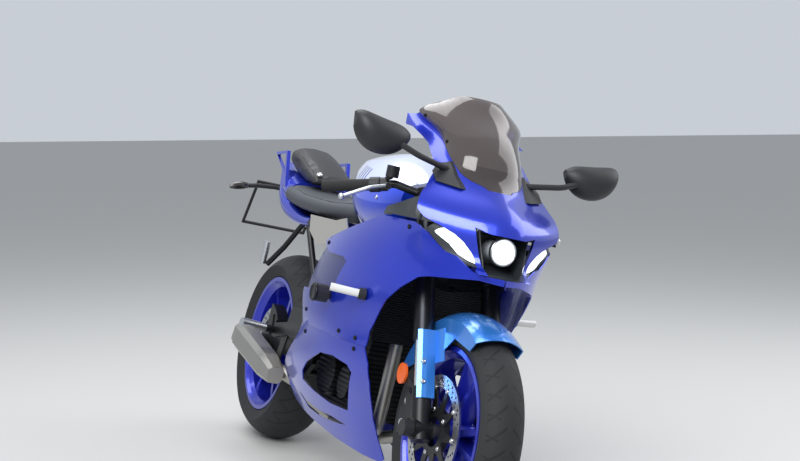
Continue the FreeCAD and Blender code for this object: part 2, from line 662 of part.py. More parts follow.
legs = fork_rod(size("fork_seal_height"), size("fork_top_height"), 0, -LEG_Y, LEG_R)
legs = legs.cut(fork_rod(size("fork_seal_height") - 1, size("fork_seal_height") + 70, 0, -LEG_Y,
                         size("fork_inner_radius") + size("seat_clearance")))
keep("fork_outer_tubes", both_sides(legs))
inner = fork_rod(size("fork_foot_height") - 30, size("fork_seal_height") + 69, 0, -LEG_Y,
                 size("fork_inner_radius"))
keep("fork_inner_tubes", both_sides(inner))

foot = fork_rod(-30, size("fork_foot_height"), 0, -LEG_Y, size("fork_foot_radius"))
axle_block = rod(FRONT_AXLE + Vector(0, -LEG_Y - 26, 0), FRONT_AXLE + Vector(0, -LEG_Y + 24, 0), 27)
caliper_arms = fork_plate([(100, -8), (100, -40), (118, -70), (104, -84), (60, -84), (46, -70), (30, -30), (20, -8)],
                          -LEG_Y - 6, -LEG_Y + 6)
foot = fuse([foot, axle_block, caliper_arms])
foot = foot.cut(rod(FRONT_AXLE + Vector(0, -200, 0), FRONT_AXLE, size("axle_radius") + size("seat_clearance")))
foot = foot.cut(fork_rod(size("fork_foot_height") - 30.3, size("fork_foot_height") + 40, 0, -LEG_Y,
                         size("fork_inner_radius") + size("seat_clearance")))
reflector_stay = fuse([
    fork_plate([(128, -22), (112, -22), (150, -96), (186, -96), (186, -70), (160, -64)], -115, -111),
    fork_plate([(112, -27.5), (100, -27.5), (112, -20), (126, -20)], -115, -104)])
foot = foot.fuse(reflector_stay).removeSplitter()
keep("fork_feet", both_sides(foot))

front_axle = rod(FRONT_AXLE + Vector(0, -150, 0), FRONT_AXLE + Vector(0, 150, 0), size("axle_radius"))
for side in (-1, 1):
    spacer = rod(FRONT_AXLE + Vector(0, side * (size("front_hub_half") + 0.5), 0),
                 FRONT_AXLE + Vector(0, side * (LEG_Y - size("fork_foot_radius") - 0.3), 0), 20)
    front_axle = front_axle.fuse(spacer)
keep("front_axle", front_axle.removeSplitter())
bobbin = rod(FRONT_AXLE + Vector(0, -154, 0), FRONT_AXLE + Vector(0, -LEG_Y - 26.3, 0),
             size("axle_bobbin_radius"))
bobbin = bobbin.cut(rod(FRONT_AXLE + Vector(0, -151, 0), FRONT_AXLE, size("axle_radius") + size("seat_clearance")))
keep("front_axle_bobbins", both_sides(bobbin))

bar_height = size("fork_top_height") - 16
bar_root = fork_point(bar_height, 4, -LEG_Y - 30)
bar_path = [bar_root, Vector(1098, -186, 911), Vector(992, -338, 869)]
bar = tube(bar_path, size("bar_radius"), 30)
bar_clamp = fork_rod(bar_height - 15, bar_height + 12, 0, -LEG_Y, LEG_R + 9)
bar = fuse([bar, bar_clamp])
bar = bar.cut(fork_rod(bar_height - 20, bar_height + 40, 0, -LEG_Y, LEG_R + size("seat_clearance")))
keep("clip_on_bars", both_sides(bar))

grip_end = bar_path[2]
grip_line = (bar_path[1] - grip_end).normalize()
grip = rod(grip_end - grip_line * 14, grip_end + grip_line * size("grip_length"), size("grip_radius"))
grip = grip.cut(rod(grip_end - grip_line * 4, grip_end + grip_line * 200, size("bar_radius") + size("seat_clearance")))
keep("grips", both_sides(grip))

switch_centre = grip_end + grip_line * (size("grip_length") + 16)
switch = rod(switch_centre - grip_line * 14, switch_centre + grip_line * 14, 21)
switch = switch.cut(rod(switch_centre - grip_line * 20, switch_centre + grip_line * 20,
                        size("bar_radius") + size("seat_clearance")))

perch_centre = grip_end + grip_line * (size("grip_length") + 42)
perch = rod(perch_centre - grip_line * 9, perch_centre + grip_line * 9, 19)
perch_arm = rod(perch_centre + Vector(10, 0, 0), perch_centre + Vector(46, -6, -4), 9)
perch = fuse([perch, perch_arm])
perch = perch.cut(rod(perch_centre - grip_line * 20, perch_centre + grip_line * 20,
                      size("bar_radius") + size("seat_clearance")))
lever_root = perch_centre + Vector(46, -6, -4) + Vector(1, -9.6, -0.2)
lever = tube([lever_root, lever_root + Vector(-4, -40, -12), Vector(1108, -336, 848)], 5.2, 40)
ball = Part.makeSphere(9, Vector(1108, -336, 848))
keep("hand_levers", both_sides(fuse([lever, ball])))
cup_base = perch_centre + Vector(22, 8, 22)
cup_post = rod(perch_centre + Vector(8, -2, 15), cup_base + Vector(0, 0, 2), 6)
bar_room = rod(perch_centre - grip_line * 20, perch_centre + grip_line * 20,
               size("bar_radius") + size("seat_clearance"))
cup = fuse([rod(cup_base, cup_base + Vector(0, 0, 32), 18), cup_post, perch]).cut(bar_room)
keep("bar_controls", together([cup, mirrored(perch), switch, mirrored(switch)]))

FENDER_IN = size("front_tyre_radius") + size("fender_gap")
FENDER_OUT = FENDER_IN + size("fender_wall")
FENDER_Y = size("fender_half_width")


def fender_band(outer_r, wall, half):
    """A curved guard cross-section turned about the front axle."""
    def at(r, y):
        return Vector(FRONT_AXLE.x, y, FRONT_AXLE.z + r)

    drop = 108
    outer = [at(outer_r - drop, -half), at(outer_r - 26, -half + 3), at(outer_r - 26, half - 3), at(outer_r - drop, half)]
    edges = [line(outer[0], outer[1]), arc_through(outer[1], at(outer_r, 0), outer[2]), line(outer[2], outer[3]),
             line(outer[3], at(outer_r - drop, half - wall)),
             line(at(outer_r - drop, half - wall), at(outer_r - 26 - wall * 0.3, half - 3 - wall)),
             arc_through(at(outer_r - 26 - wall * 0.3, half - 3 - wall), at(outer_r - wall, 0),
                         at(outer_r - 26 - wall * 0.3, -half + 3 + wall)),
             line(at(outer_r - 26 - wall * 0.3, -half + 3 + wall), at(outer_r - drop, -half + wall)),
             line(at(outer_r - drop, -half + wall), outer[0])]
    return Part.Face(Part.Wire(edges)).revolve(FRONT_AXLE, Vector(0, 1, 0), 360)


# the fender runs from 58 degrees ahead of the leg side to behind the wheel, in the side view
def polar_outline(centre, table):
    return [(centre.x + r * math.cos(math.radians(a)), centre.z + r * math.sin(math.radians(a)))
            for a, r in table]


FENDER_OUTLINE = polar_outline(FRONT_AXLE, [(58, 340), (62, 262), (84, 250), (94, 216), (130, 216), (150, 262),
                                            (156, 345), (140, 420), (110, 420), (80, 420)])
fender = fender_band(FENDER_OUT, size("fender_wall"), FENDER_Y)
fender = fender.common(side_plate(FENDER_OUTLINE, -90, 90))
EAR_FRONT = [(34, -80), (31.2, -103), (28, -114.5), (21, -125), (18.8, -122.6), (25, -113.5), (28.6, -102.9),
             (31.4, -81.5)]
EAR_INNER = [(66, -70.4), (34, -80), (31.4, -81.5), (31.4, -78), (66, -67.6)]


def fork_column(outline, low_height, high_height):
    """A column along the fork whose outline is (reach, y)."""
    face = polygon([fork_point(low_height, reach, y) for reach, y in outline])
    return face.extrude(UP_FORK * (high_height - low_height))


fender_ear = fork_column(EAR_FRONT, 78, 262).fuse(fork_column(EAR_INNER, 172, 262))
keep("front_fender", fuse([fender, fender_ear, mirrored(fender_ear)]))


def caliper(centre, angle, inner_r, outer_r, y_in, y_out, slot_in, slot_out, spread):
    """A block that straddles the disc, bounded by two radii about the axle."""
    sector = []
    for turn in (-spread, -spread / 2, 0, spread / 2, spread):
        a = math.radians(angle + turn)
        sector.append((centre.x + outer_r * math.cos(a), centre.z + outer_r * math.sin(a)))
    for turn in (spread, spread / 2, 0, -spread / 2, -spread):
        a = math.radians(angle + turn)
        sector.append((centre.x + inner_r * math.cos(a), centre.z + inner_r * math.sin(a)))
    whole = side_plate(sector, y_in, y_out)
    slot = side_plate([(centre.x + (x - centre.x) * k, centre.z + (z - centre.z) * k)
                       for (x, z), k in zip(sector, [0.93] * 5 + [0.9] * 5)], slot_in, slot_out)
    return whole.cut(slot)


front_caliper = caliper(FRONT_AXLE, 180 - 10, 106, 170, -93.6, -44, -70, -54, 24)
keep("front_calipers", both_sides(front_caliper))

keep("fork_reflectors", both_sides(rod(fork_point(168, -82, -122), fork_point(168, -82, -115.3), 28)))



# Chassis: head tube and frame spars, pivot plates, subframe
SPAR = size("frame_tube_radius")
THIN = size("subframe_tube_radius")
PIVOT = Vector(size("pivot_x"), 0, size("pivot_z"))
HEAD_LOW = LOWER + HALF_CLAMP + size("head_tube_gap")
HEAD_HIGH = UPPER - HALF_CLAMP - size("head_tube_gap")
head_tube = fork_rod(HEAD_LOW, HEAD_HIGH, -OFFSET, 0, size("head_tube_radius"))
head_bore = fork_rod(HEAD_LOW - 1, HEAD_HIGH + 1, -OFFSET, 0, size("stem_radius") + size("pin_clearance"))
spar = tube([Vector(1150, -10, 772), Vector(1060, -105, 752), Vector(780, -168, 650), Vector(590, -136, 455)], SPAR, 90)
PLATE_OUTLINE = [(520, 520), (622, 540), (660, 470), (655, 340), (612, 302), (545, 302), (505, 350), (505, 430)]
right_plate = side_plate(PLATE_OUTLINE, -150, -136)
left_plate = side_plate(PLATE_OUTLINE, 156, 170)
left_spar = tube([Vector(1150, 10, 772), Vector(1060, 105, 752), Vector(780, 168, 650), Vector(590, 157, 455)], SPAR, 90)
cross_tube = rod(Vector(592, -150, 640), Vector(592, 150, 640), THIN)
lower_cross = rod(Vector(600, -140, 310), Vector(600, 160, 310), THIN)
tank_bar = rod(Vector(780, -168, 650), Vector(780, 168, 650), THIN)
head_arm = [rod(Vector(690, side * 168, 588), Vector(592, side * 150, 640), THIN) for side in (-1, 1)]
frame = fuse([head_tube, spar, left_spar, right_plate, left_plate, cross_tube, lower_cross, tank_bar] + head_arm)
pivot_bore = rod(PIVOT - Vector(0, 300, 0), PIVOT + Vector(0, 300, 0), size("pivot_bolt_radius") + size("seat_clearance"))
pivot_bolt = rod(PIVOT - Vector(0, 150, 0), PIVOT + Vector(0, 170, 0), size("pivot_bolt_radius"))

stay_start = fork_point(530, -OFFSET + size("head_tube_radius") - 6, 0)
stay_end = Vector(LAMP_X - 3.3, 0, 782)
nose_stay = rod(stay_start, stay_end, 13)
nose_bar = rod(Vector(1366, -260, 800), Vector(1366, 260, 800), 9).common(nose_volume(15.2))
nose_bar = nose_bar.cut(outside_cowl).cut(mirrored(outside_cowl))
nose_stay = fuse([nose_stay, nose_bar])



def subframe_tubes(extra):
    """The bare tubes of the subframe, thicker all round by an extra."""
    pieces = []
    for side, root in ((-1, 125.7), (1, 145.7)):
        top = tube([Vector(592, side * 118, 640), Vector(560, side * 118, 742), Vector(60, side * 96, 756),
                    Vector(-110, side * 70, 820)], THIN + extra, 60)
        brace = rod(Vector(545, side * root, 500), Vector(240, side * 104, 748), THIN - 2 + extra)
        peg_arm = tube([Vector(200, side * 104, 744), Vector(120, side * 128, 650), Vector(72, side * 158, 582)],
                       9 + extra, 60)
        pieces += [top, brace, peg_arm]
    return pieces + [rod(Vector(300, -105, 752), Vector(300, 105, 752), THIN - 2 + extra)]


cross_room = rod(Vector(592, -170, 640), Vector(592, 170, 640), THIN + size("seat_clearance"))
subframe = fuse(subframe_tubes(0)).cut(cross_room)
subframe_room = fuse(subframe_tubes(size("seat_clearance")))


# Swingarm, axle, shock and rear brake
RIGHT_ARM = -size("arm_offset") - 2
LEFT_ARM = size("arm_offset") + 24
ARM_HALF = size("arm_wall") / 2
ARM_OUTLINE = [(-36, 336), (-36, 296), (30, 288), (330, 318), (575, 362), (613, 400), (575, 438), (470, 430),
               (330, 382), (30, 344)]
arms = []
for y in (RIGHT_ARM, LEFT_ARM):
    arms.append(side_plate(ARM_OUTLINE, y - ARM_HALF, y + ARM_HALF))
pivot_tube = rod(PIVOT + Vector(0, RIGHT_ARM - 4, 0), PIVOT + Vector(0, LEFT_ARM + 3, 0), 22)
bridge = block(Vector(452, RIGHT_ARM, 362), Vector(512, LEFT_ARM, 412))
swingarm = fuse(arms + [pivot_tube, bridge])
axle_slot = rod(REAR_AXLE - Vector(0, 300, 0), REAR_AXLE + Vector(0, 300, 0),
                size("axle_radius") + size("seat_clearance"))
swingarm = swingarm.cut(pivot_bore).cut(axle_slot)

rear_axle = rod(REAR_AXLE - Vector(0, 190, 0), REAR_AXLE + Vector(0, 190, 0), size("axle_radius"))
rear_spacers = [rod(REAR_AXLE + Vector(0, size("rear_hub_half") + 0.5, 0),
                    REAR_AXLE + Vector(0, LEFT_ARM - ARM_HALF - 0.3, 0), 20),
                rod(REAR_AXLE - Vector(0, size("rear_hub_half") + 0.5, 0),
                    REAR_AXLE + Vector(0, RIGHT_ARM + ARM_HALF + 0.3, 0), 20)]
keep("rear_axle", fuse([rear_axle] + rear_spacers))
axle_hole = rod(REAR_AXLE - Vector(0, 191, 0), REAR_AXLE + Vector(0, 191, 0),
                size("axle_radius") + size("seat_clearance"))
right_bobbin = rod(REAR_AXLE - Vector(0, 196, 0), REAR_AXLE + Vector(0, RIGHT_ARM - ARM_HALF - 0.3, 0),
                   size("axle_bobbin_radius"))
left_bobbin = rod(REAR_AXLE + Vector(0, LEFT_ARM + ARM_HALF + 0.3, 0), REAR_AXLE + Vector(0, 196, 0),
                  size("axle_bobbin_radius"))
keep("rear_bobbins", together([right_bobbin.cut(axle_hole), left_bobbin.cut(axle_hole)]))

shock_low = Vector(482, 0, 412.3)
shock_high = Vector(585, 0, 627)
shock_line = (shock_high - shock_low).normalize()
shock_top = shock_high - shock_line * 3
shock = fuse([rod(shock_low, shock_top, 16), rod(shock_low + shock_line * 30, shock_top - shock_line * 22, 29)])
shock = shock.cut(rod(Vector(592, -150, 640), Vector(592, 150, 640), THIN + 0.3))
shock = shock.cut(block(Vector(440, -60, 380), Vector(530, 60, 412.3)))
keep("rear_shock", shock)

rear_caliper = caliper(REAR_AXLE, 62, 84, 138, -93.5, -54, -80, -64.5, 20)
bracket = side_plate([(-22, 300), (22, 300), (72, 372), (62, 420), (34, 400), (-22, 332)], -97.4, -93.5)
rear_caliper = fuse([rear_caliper, bracket]).cut(rod(REAR_AXLE - Vector(0, 200, 0), REAR_AXLE, 20.3))
keep("rear_caliper", rear_caliper)
guard = side_plate([(120, 452), (440, 456), (470, 448), (470, 454), (440, 464), (118, 460)], 96, 122)
guard_leg = side_plate([(400, 460), (428, 460), (428, 396), (400, 396)], 118, 126)
keep("swingarm", fuse([swingarm, guard, guard_leg]).cut(pivot_bore))

# Engine, radiator and exhaust
crankcase = side_plate([(690, 236), (935, 236), (972, 304), (968, 420), (720, 424), (690, 380)], -110, 110)
gearbox = side_plate([(662, 262), (700, 240), (700, 424), (662, 424)], -110, 84)
cylinders = side_plate([(800, 410), (985, 400), (1030, 560), (1010, 612), (850, 640), (810, 600)], -118, 118)
right_cover = rod(Vector(770, -105, 342), Vector(770, -146, 342), 70)
small_cover = rod(Vector(895, -105, 330), Vector(895, -136, 330), 46)
left_cover = rod(Vector(880, 105, 336), Vector(880, 142, 336), 64)
mount_bosses = [rod(Vector(640, -135.7, 370), Vector(640, -60, 370), 20),
                block(Vector(640, -80, 300), Vector(680, 60, 380))]
engine = fuse([crankcase, gearbox, cylinders, right_cover, small_cover, left_cover] + mount_bosses)
engine = engine.cut(rod(FRONT_SPROCKET + Vector(0, -30, 0), FRONT_SPROCKET + Vector(0, 40, 0), 50))
sprocket_shaft = rod(FRONT_SPROCKET + Vector(0, -40, 0), FRONT_SPROCKET + Vector(0, 6, 0), 12)
small_sprocket = sprocket(FRONT_SPROCKET, size("front_sprocket_radius"), 16, 8)
keep("engine", fuse([engine, small_sprocket, sprocket_shaft]))

core = side_plate([(1078, 480), (1104, 480), (1104, 690), (1078, 690)], -165, 165)
fan = rod(Vector(1071, 0, 585), Vector(1078, 0, 585), 70)
hangers = [rod(Vector(1090, side * 80, 680), Vector(1090, side * 80, 752), 6) for side in (-1, 1)]
hangers = [h.cut(spar).cut(left_spar) for h in hangers]
keep("radiator", fuse([core, fan] + hangers))

pipe_r = size("header_pipe_radius")
headers = []
for y in (-60, 60):
    headers.append(tube([Vector(1019, y, 524), Vector(1044, y, 482), Vector(1026, y, 232),
                         Vector(880, y * 0.5, 186), Vector(700, -30, 186)], pipe_r, 40))
collector = rod(Vector(880, 0, 186), Vector(660, -40, 186), 28)
LINK_PATH = [Vector(680, -36, 186), Vector(520, -70, 216), Vector(448, -96, 250), Vector(372, -176, 284)]
link_pipe = tube(LINK_PATH, 21, 50)
keep("exhaust_pipes", fuse(headers + [collector, link_pipe]).cut(side_plate(
    [(800, 398), (985, 400), (1030.3, 560), (1010, 612), (850, 640), (810, 600)], -118.3, 118.3)))


def muffler_ring(x, z, half_height, half_width, shrink=0):
    """An upright oval slice of the muffler body, cut square to its length."""
    across = half_width - shrink
    tall = half_height - shrink
    centre = Vector(x, -181, z)
    lean = Vector(0.34, 0, 0.94)
    points = []
    for u, v in ((-1, -0.62), (-0.62, -1), (0.62, -1), (1, -0.62), (1, 0.62), (0.62, 1), (-0.62, 1), (-1, 0.62)):
        points.append(centre + Vector(0, across * u, 0) + lean * (tall * v))
    return Part.makePolygon(points + [points[0]])


MUFFLER_RINGS = [(440, 262, 28, 26), (350, 280, 40, 36), (76, 328, 43, 38), (32, 335, 38, 33)]
muffler = Part.makeLoft([muffler_ring(*ring) for ring in MUFFLER_RINGS], True, True)
cavity = rod(Vector(10, -181, 339), Vector(72, -181, 329), 22)
muffler = muffler.cut(cavity)
muffler = muffler.cut(tube(LINK_PATH, 21.3, 50))
keep("muffler", muffler)
hanger = side_plate([(330, 300), (370, 296), (430, 440), (560, 462), (560, 490), (400, 480)], -156, -150.3)
hanger = hanger.cut(muffler)


# Tank, seats, tail
def barrel_section(x, z_low, half_low, z_mid, half_mid, z_high, half_high, z_top):
    low_right, low_left = Vector(x, -half_low, z_low), Vector(x, half_low, z_low)
    high_right, high_left = Vector(x, -half_high, z_high), Vector(x, half_high, z_high)
    return Part.Wire([line(low_left, low_right), arc_through(low_right, Vector(x, -half_mid, z_mid), high_right),
                      arc_through(high_right, Vector(x, 0, z_top), high_left),
                      arc_through(high_left, Vector(x, half_mid, z_mid), low_left)])


# x, low z and half, middle z and half, shoulder z and half, top z
TANK_ROWS = [
    (568, 806, 66, 862, 96, 930, 80, 950), (625, 796, 84, 876, 126, 968, 100, 992),
    (730, 782, 112, 890, 152, 976, 114, 1012), (860, 782, 122, 890, 156, 980, 112, 1014),
    (960, 802, 118, 888, 146, 956, 98, 984), (1022, 830, 96, 886, 126, 926, 84, 944),
]
SEAT_ROWS = [
    (24, 806, 104, 836, 138, 862, 114, 871), (200, 786, 118, 815, 147, 838, 122, 846),
    (400, 778, 92, 808, 122, 832, 100, 838), (567.7, 780, 58, 812, 84, 846, 66, 854),
]
PILLION_ROWS = [
    (138, 874, 62, 888, 78, 898, 64, 903), (0, 886, 70, 918, 90, 948, 72, 958),
    (-148, 926, 62, 962, 86, 992, 66, 1003),
]
TAIL_ROWS = [
    (270, 742, 84, 758, 116, 770, 100, 773), (60, 752, 84, 776, 128, 797, 102, 800),
    (-80, 792, 70, 826, 118, 860, 86, 868), (-190, 888, 44, 908, 70, 926, 56, 930),
]
HUMP_ROWS = [
    (18, 770, 80, 826, 120, 872, 72, 885), (-80, 800, 70, 852, 112, 900, 72, 906),
    (-196, 892, 44, 916, 76, 938, 58, 942),
]
tank = loft([barrel_section(*row) for row in TANK_ROWS])
keep("fuel_tank", tank)
seat = loft([barrel_section(*row) for row in SEAT_ROWS])
keep("rider_seat", seat)
pillion = loft([barrel_section(*row) for row in PILLION_ROWS])
keep("pillion_seat", pillion)
tail = loft([barrel_section(*row) for row in TAIL_ROWS])
hump = loft([barrel_section(*row) for row in HUMP_ROWS])
tail = tail.fuse(hump)
seat_room = loft([barrel_section(x, a - 0.3, b + 0.5, c, d + 0.5, e, f + 0.5, g + 0.3)
                  for x, a, b, c, d, e, f, g in SEAT_ROWS])
pillion_room = loft([barrel_section(x, a - 0.3, b + 0.3, c, d + 0.3, e + 30, f + 0.3, g + 40)
                     for x, a, b, c, d, e, f, g in PILLION_ROWS[:2] + [(-200, 939, 62, 968, 86, 1010, 66, 1030)]])
tail = tail.cut(seat_room).cut(seat_room.translated(Vector(-0.5, 0, 0))).cut(pillion_room)
tail = tail.cut(subframe_room)
FIN = [(-205, 962), (-84, 972), (-44, 872)]
FIN_HOLE = [(-186, 953), (-96, 960), (-64, 894)]
fin = side_plate(FIN, -118, -106).cut(side_plate(FIN_HOLE, -130, -90))
fin_foot = side_plate([(-100, 908), (-56, 888), (-40, 868), (-30, 850), (-90, 850)], -118, -70)
fins = fuse([fin, fin_foot]).cut(pillion_room)
keep("tail_cowl", fuse([tail, fins, mirrored(fins)]))


def surface_y(skin, x, z):
    """Half width of a right-hand skin's outer face at a point of the side view."""
    probe = skin.common(line(Vector(x, -400, z), Vector(x, -30, z)))
    return -min(v.Point.y for v in probe.Vertexes)


# Tail lamp, plate frame and signals
keep("tail_lamp", block(Vector(-204, -36, 902), Vector(-196.3, 36, 926)))
PLATE_W = size("plate_width") / 2
PLATE_H = size("plate_height")
PLATE_TOP = Vector(-332, 0, 850)
plate_down = Vector(-93, 0, -164).normalize()
plate_back = Vector(-164, 0, 93).normalize()


def plate_corner(across, down):
    return PLATE_TOP + Vector(0, across, 0) + plate_down * down


def plate_ring(inset):
    corners = [plate_corner(-PLATE_W + inset, inset), plate_corner(PLATE_W - inset, inset),
               plate_corner(PLATE_W - inset, PLATE_H - inset), plate_corner(-PLATE_W + inset, PLATE_H - inset)]
    return polygon(corners).extrude(plate_back * 7)


plate_frame = plate_ring(0).cut(plate_ring(size("plate_rim")))
plate_arm = tube([Vector(-100, 0, 812), Vector(-190, 0, 838), Vector(-336, 0, 845)], 13, 60)
signal_bar = rod(Vector(-250, -96, 838), Vector(-250, 96, 838), 7)
signal_stalk = tube([Vector(-250, -90, 838), Vector(-250, -150, 832), Vector(-250, -178, 826)], 8, 20)
keep("plate_bracket", fuse([plate_frame, plate_arm, signal_bar, signal_stalk, mirrored(signal_stalk)]).cut(tail))
signal_lens = loft([Part.Wire(Part.makeCircle(r, Vector(-250, y, z), Vector(0, 1, 0)))
                    for y, z, r in ((-180, 825.6, 10), (-211, 820, 15), (-245, 812, 9))])

front_y = surface_y(side_skin, 1138, 602)
front_base = rod(Vector(1138, -front_y - 0.3, 602), Vector(1135, -front_y - 18, 602), 16)
front_lens = tube([Vector(1134.9, -front_y - 18.4, 602), Vector(1124, -front_y - 50, 603),
                   Vector(1108, -front_y - 92, 605)], 11, 60)
keep("front_signal_bases", both_sides(largest(front_base.cut(side_skin))))
front_lens = front_lens.cut(front_base)
keep("turn_signal_lenses", together([front_lens, mirrored(front_lens), signal_lens, mirrored(signal_lens)]))

# Instruments and mirrors
dash = side_plate([(1222, 944), (1286, 985), (1276, 1000), (1212, 959)], -70, 70)
dash_post = rod(Vector(1252, 0, 972), Vector(1252, 0, 772), 9)
dash = fuse([dash, dash_post]).cut(rod(stay_start, stay_end, 13.3))
keep("instrument_pod", largest(dash))

mirror_base = nose_skin(-8, 7.7).common(side_plate([(1345, 930), (1300, 962), (1262, 998), (1246, 988), (1270, 962), (1302, 938)],
                                                   -320, -60))
arm_root = Vector(1270, -surface_y(nose_shell, 1270, 975) - 5, 975)
mirror_arm = tube([arm_root, Vector(1290, -215, 992), Vector(1276, -292, 1020)], 8, 60)
MIRROR_ROWS = [(-238, 1020, 1036, 1262), (-262, 992, 1056, 1286), (-330, 976, 1068, 1302), (-378, 1000, 1076, 1290),
               (-396, 1030, 1070, 1266)]
housing = loft([Part.Wire([line(Vector(1250, y, low), Vector(1238, y, high)),
                           arc_through(Vector(1238, y, high), Vector(front, y, (low + high) / 2), Vector(1250, y, low))])
                for y, low, high, front in MIRROR_ROWS])
glass_outline = [(-258, 998), (-256, 1046), (-330, 1060), (-382, 1066), (-376, 1008), (-330, 986)]
glass_face = polygon([Vector(1200, y, z) for y, z in glass_outline])
pocket = glass_face.extrude(Vector(60, 0, 0))
glass_room = pocket.common(side_plate([(1200, 960), (1256.5, 960), (1241.5, 1085), (1200, 1085)], -420, -200))
glass_slab = pocket.common(side_plate([(1249, 960), (1256.2, 960), (1241.2, 1085), (1234, 1085)], -420, -200))
housing = housing.cut(glass_room)
mirror = fuse([mirror_base, mirror_arm, housing]).cut(nose_shell)
keep("mirrors", both_sides(largest(mirror)))
keep("mirror_glasses", both_sides(glass_slab))

# Crash bobbins, foot controls and covers
slider = fuse([rod(Vector(925, -118.3, 572), Vector(925, -252, 572), 11),
               rod(Vector(925, -252, 572), Vector(925, -292, 572), size("slider_radius"))])
keep("frame_sliders", both_sides(slider))
REARSET = [(600, 448), (520, 474), (400, 430), (286, 412), (270, 372), (300, 366), (420, 392), (560, 380)]
rearset_right = fuse([hanger, side_plate(REARSET, -163, -156),
                      rod(Vector(285, -160, 388), Vector(293.6, -197, 391.4), 12),
                      block(Vector(560, -156.4, 395), Vector(590, -150.3, 440))])
rearset_left = fuse([side_plate(REARSET, 178.3, 185), rod(Vector(285, 182, 388), Vector(293.6, 219, 391.4), 12),
                     block(Vector(585, 170.3, 390), Vector(600, 178.4, 440))])
bolt_room = rod(PIVOT - Vector(0, 300, 0), PIVOT + Vector(0, 300, 0), 12)
keep("rearset_brackets", together([rearset_right.cut(bolt_room), rearset_left.cut(bolt_room)]))
pegs = []
for side, root in ((-1, 197), (1, 219)):
    peg_line = Vector(8.6, side * 37, 3.4).normalize()
    start = Vector(293.6, side * root, 391.4) + peg_line * 0.3
    pegs.append(rod(start, start + peg_line * size("peg_length"), size("peg_radius")))

pillion_peg = rod(Vector(60, -172, 582), Vector(70, -172, 656), 11)
pillion_peg = pillion_peg.cut(subframe_room)
keep("foot_pegs", together(pegs + [pillion_peg, mirrored(pillion_peg)]))

COVER_OUTLINE = [(300, 776), (564, 776), (640, 790), (668, 760), (600, 700), (440, 690), (330, 726)]
cover = flank_skin([(660, 760, 126, 500, 138, 200, 118), (800, 760, 122, 500, 132, 200, 112)], 0, WALL)
cover = cover.common(side_plate(COVER_OUTLINE, -220, -20))
keep("side_covers", both_sides(cover))
cover_pin = rod(Vector(450, -106, 744), Vector(450, -150, 744), 6).cut(cover)
cover_pin = sorted(cover_pin.Solids, key=lambda solid: -solid.CenterOfMass.y)[0]
keep("subframe", fuse([subframe, cover_pin, mirrored(cover_pin)]))

# Side stand: drawn down on its stop; the foot is flat on the ground of the leaned bike
lean = size("lean_deg")
lean_turn = Rotation(Vector(1, 0, 0), -lean)
crown = []
for radius, width in ((size("rear_tyre_radius"), size("rear_tyre_width")),
                      (size("front_tyre_radius"), size("front_tyre_width"))):
    half = width / 2
    lip = size("bead_seat_radius") + size("flange_height") + 2
    depth = (radius - lip) * 0.58
    crown_radius = (half * half + depth * depth) / (2 * depth)
    crown.append(crown_radius * (1 - math.cos(math.radians(lean))))
pitch = math.degrees(math.atan2(crown[0] - crown[1], size("wheelbase")))
STANCE = Placement(Vector(0, 0, crown[0]), Rotation(Vector(0, 1, 0), pitch)).multiply(
    Placement(Vector(0, 0, 0), lean_turn))
to_bike = STANCE.inverse()
ground_up = to_bike.Rotation.multVec(Vector(0, 0, 1))
FOOT = to_bike.multVec(Vector(590, 309, 0))
STAND_PIVOT = Vector(560, 192, 262)
down = (FOOT - STAND_PIVOT).normalize()
folded = Vector(-0.99, 0.02, 0.14).normalize()
stand_axis = down.cross(folded).normalize()
eye = rod(STAND_PIVOT - stand_axis * 8, STAND_PIVOT + stand_axis * 8, 16)
neck = rod(STAND_PIVOT + down * 8, STAND_PIVOT + down * 34, 7.8)
leg = rod(STAND_PIVOT + down * 26, FOOT + ground_up * 6, size("stand_leg_radius"))
pad = rod(FOOT, FOOT + ground_up * 9, 25)
pin_room = rod(STAND_PIVOT - stand_axis * 40, STAND_PIVOT + stand_axis * 40, 7 + size("pin_clearance"))
side_stand = fuse([eye, neck, leg, pad]).cut(pin_room)
below = Part.makeBox(400, 400, 60, Vector(400, 100, -60))
below.Placement = to_bike
keep("side_stand", side_stand.cut(below))
ear_low = STAND_PIVOT - stand_axis * 16
stand_ear = rod(ear_low, STAND_PIVOT - stand_axis * 8.5, 19)
ear_block = block(Vector(540, 165, 240), Vector(580, 184, 322))
ear_block = ear_block.cut(rod(STAND_PIVOT - stand_axis * 8.5, STAND_PIVOT + stand_axis * 60, 24))
pin = rod(ear_low, STAND_PIVOT + stand_axis * 8.6, 7)
head = rod(STAND_PIVOT + stand_axis * 8.5, STAND_PIVOT + stand_axis * 13, 11)
tank_post = rod(Vector(780, 0, 650), Vector(780, 0, 800), 16).cut(tank)
frame = fuse([frame, tank_post, pivot_bolt, nose_stay, stand_ear, ear_block, pin, head])
keep("main_frame", frame.cut(head_bore))

# Every piece leans over, and the origin moves to the centre of the footprint
doc.recompute()
for piece in SUB_PARTS:
    piece.Placement = STANCE.multiply(piece.Placement)
doc.recompute()
low = [1e9, 1e9, 1e9]
high = [-1e9, -1e9, -1e9]
for piece in SUB_PARTS:
    box = piece.Shape.optimalBoundingBox(True)
    low = [min(a, b) for a, b in zip(low, (box.XMin, box.YMin, box.ZMin))]
    high = [max(a, b) for a, b in zip(high, (box.XMax, box.YMax, box.ZMax))]
shift = Vector(-(low[0] + high[0]) / 2, -(low[1] + high[1]) / 2, -low[2])
for piece in SUB_PARTS:
    piece.Placement = Placement(shift, Rotation()).multiply(piece.Placement)
doc.recompute()
for item in doc.Objects:
    if "Invalid" in item.State or "Error" in item.State:
        raise RuntimeError("recompute failed: " + item.Label)
for piece in SUB_PARTS:
    if piece.Shape.isNull() or not piece.Shape.isValid() or not piece.Shape.Solids:
        raise RuntimeError("bad shape: " + piece.Label)
os.makedirs("parts", exist_ok=True)
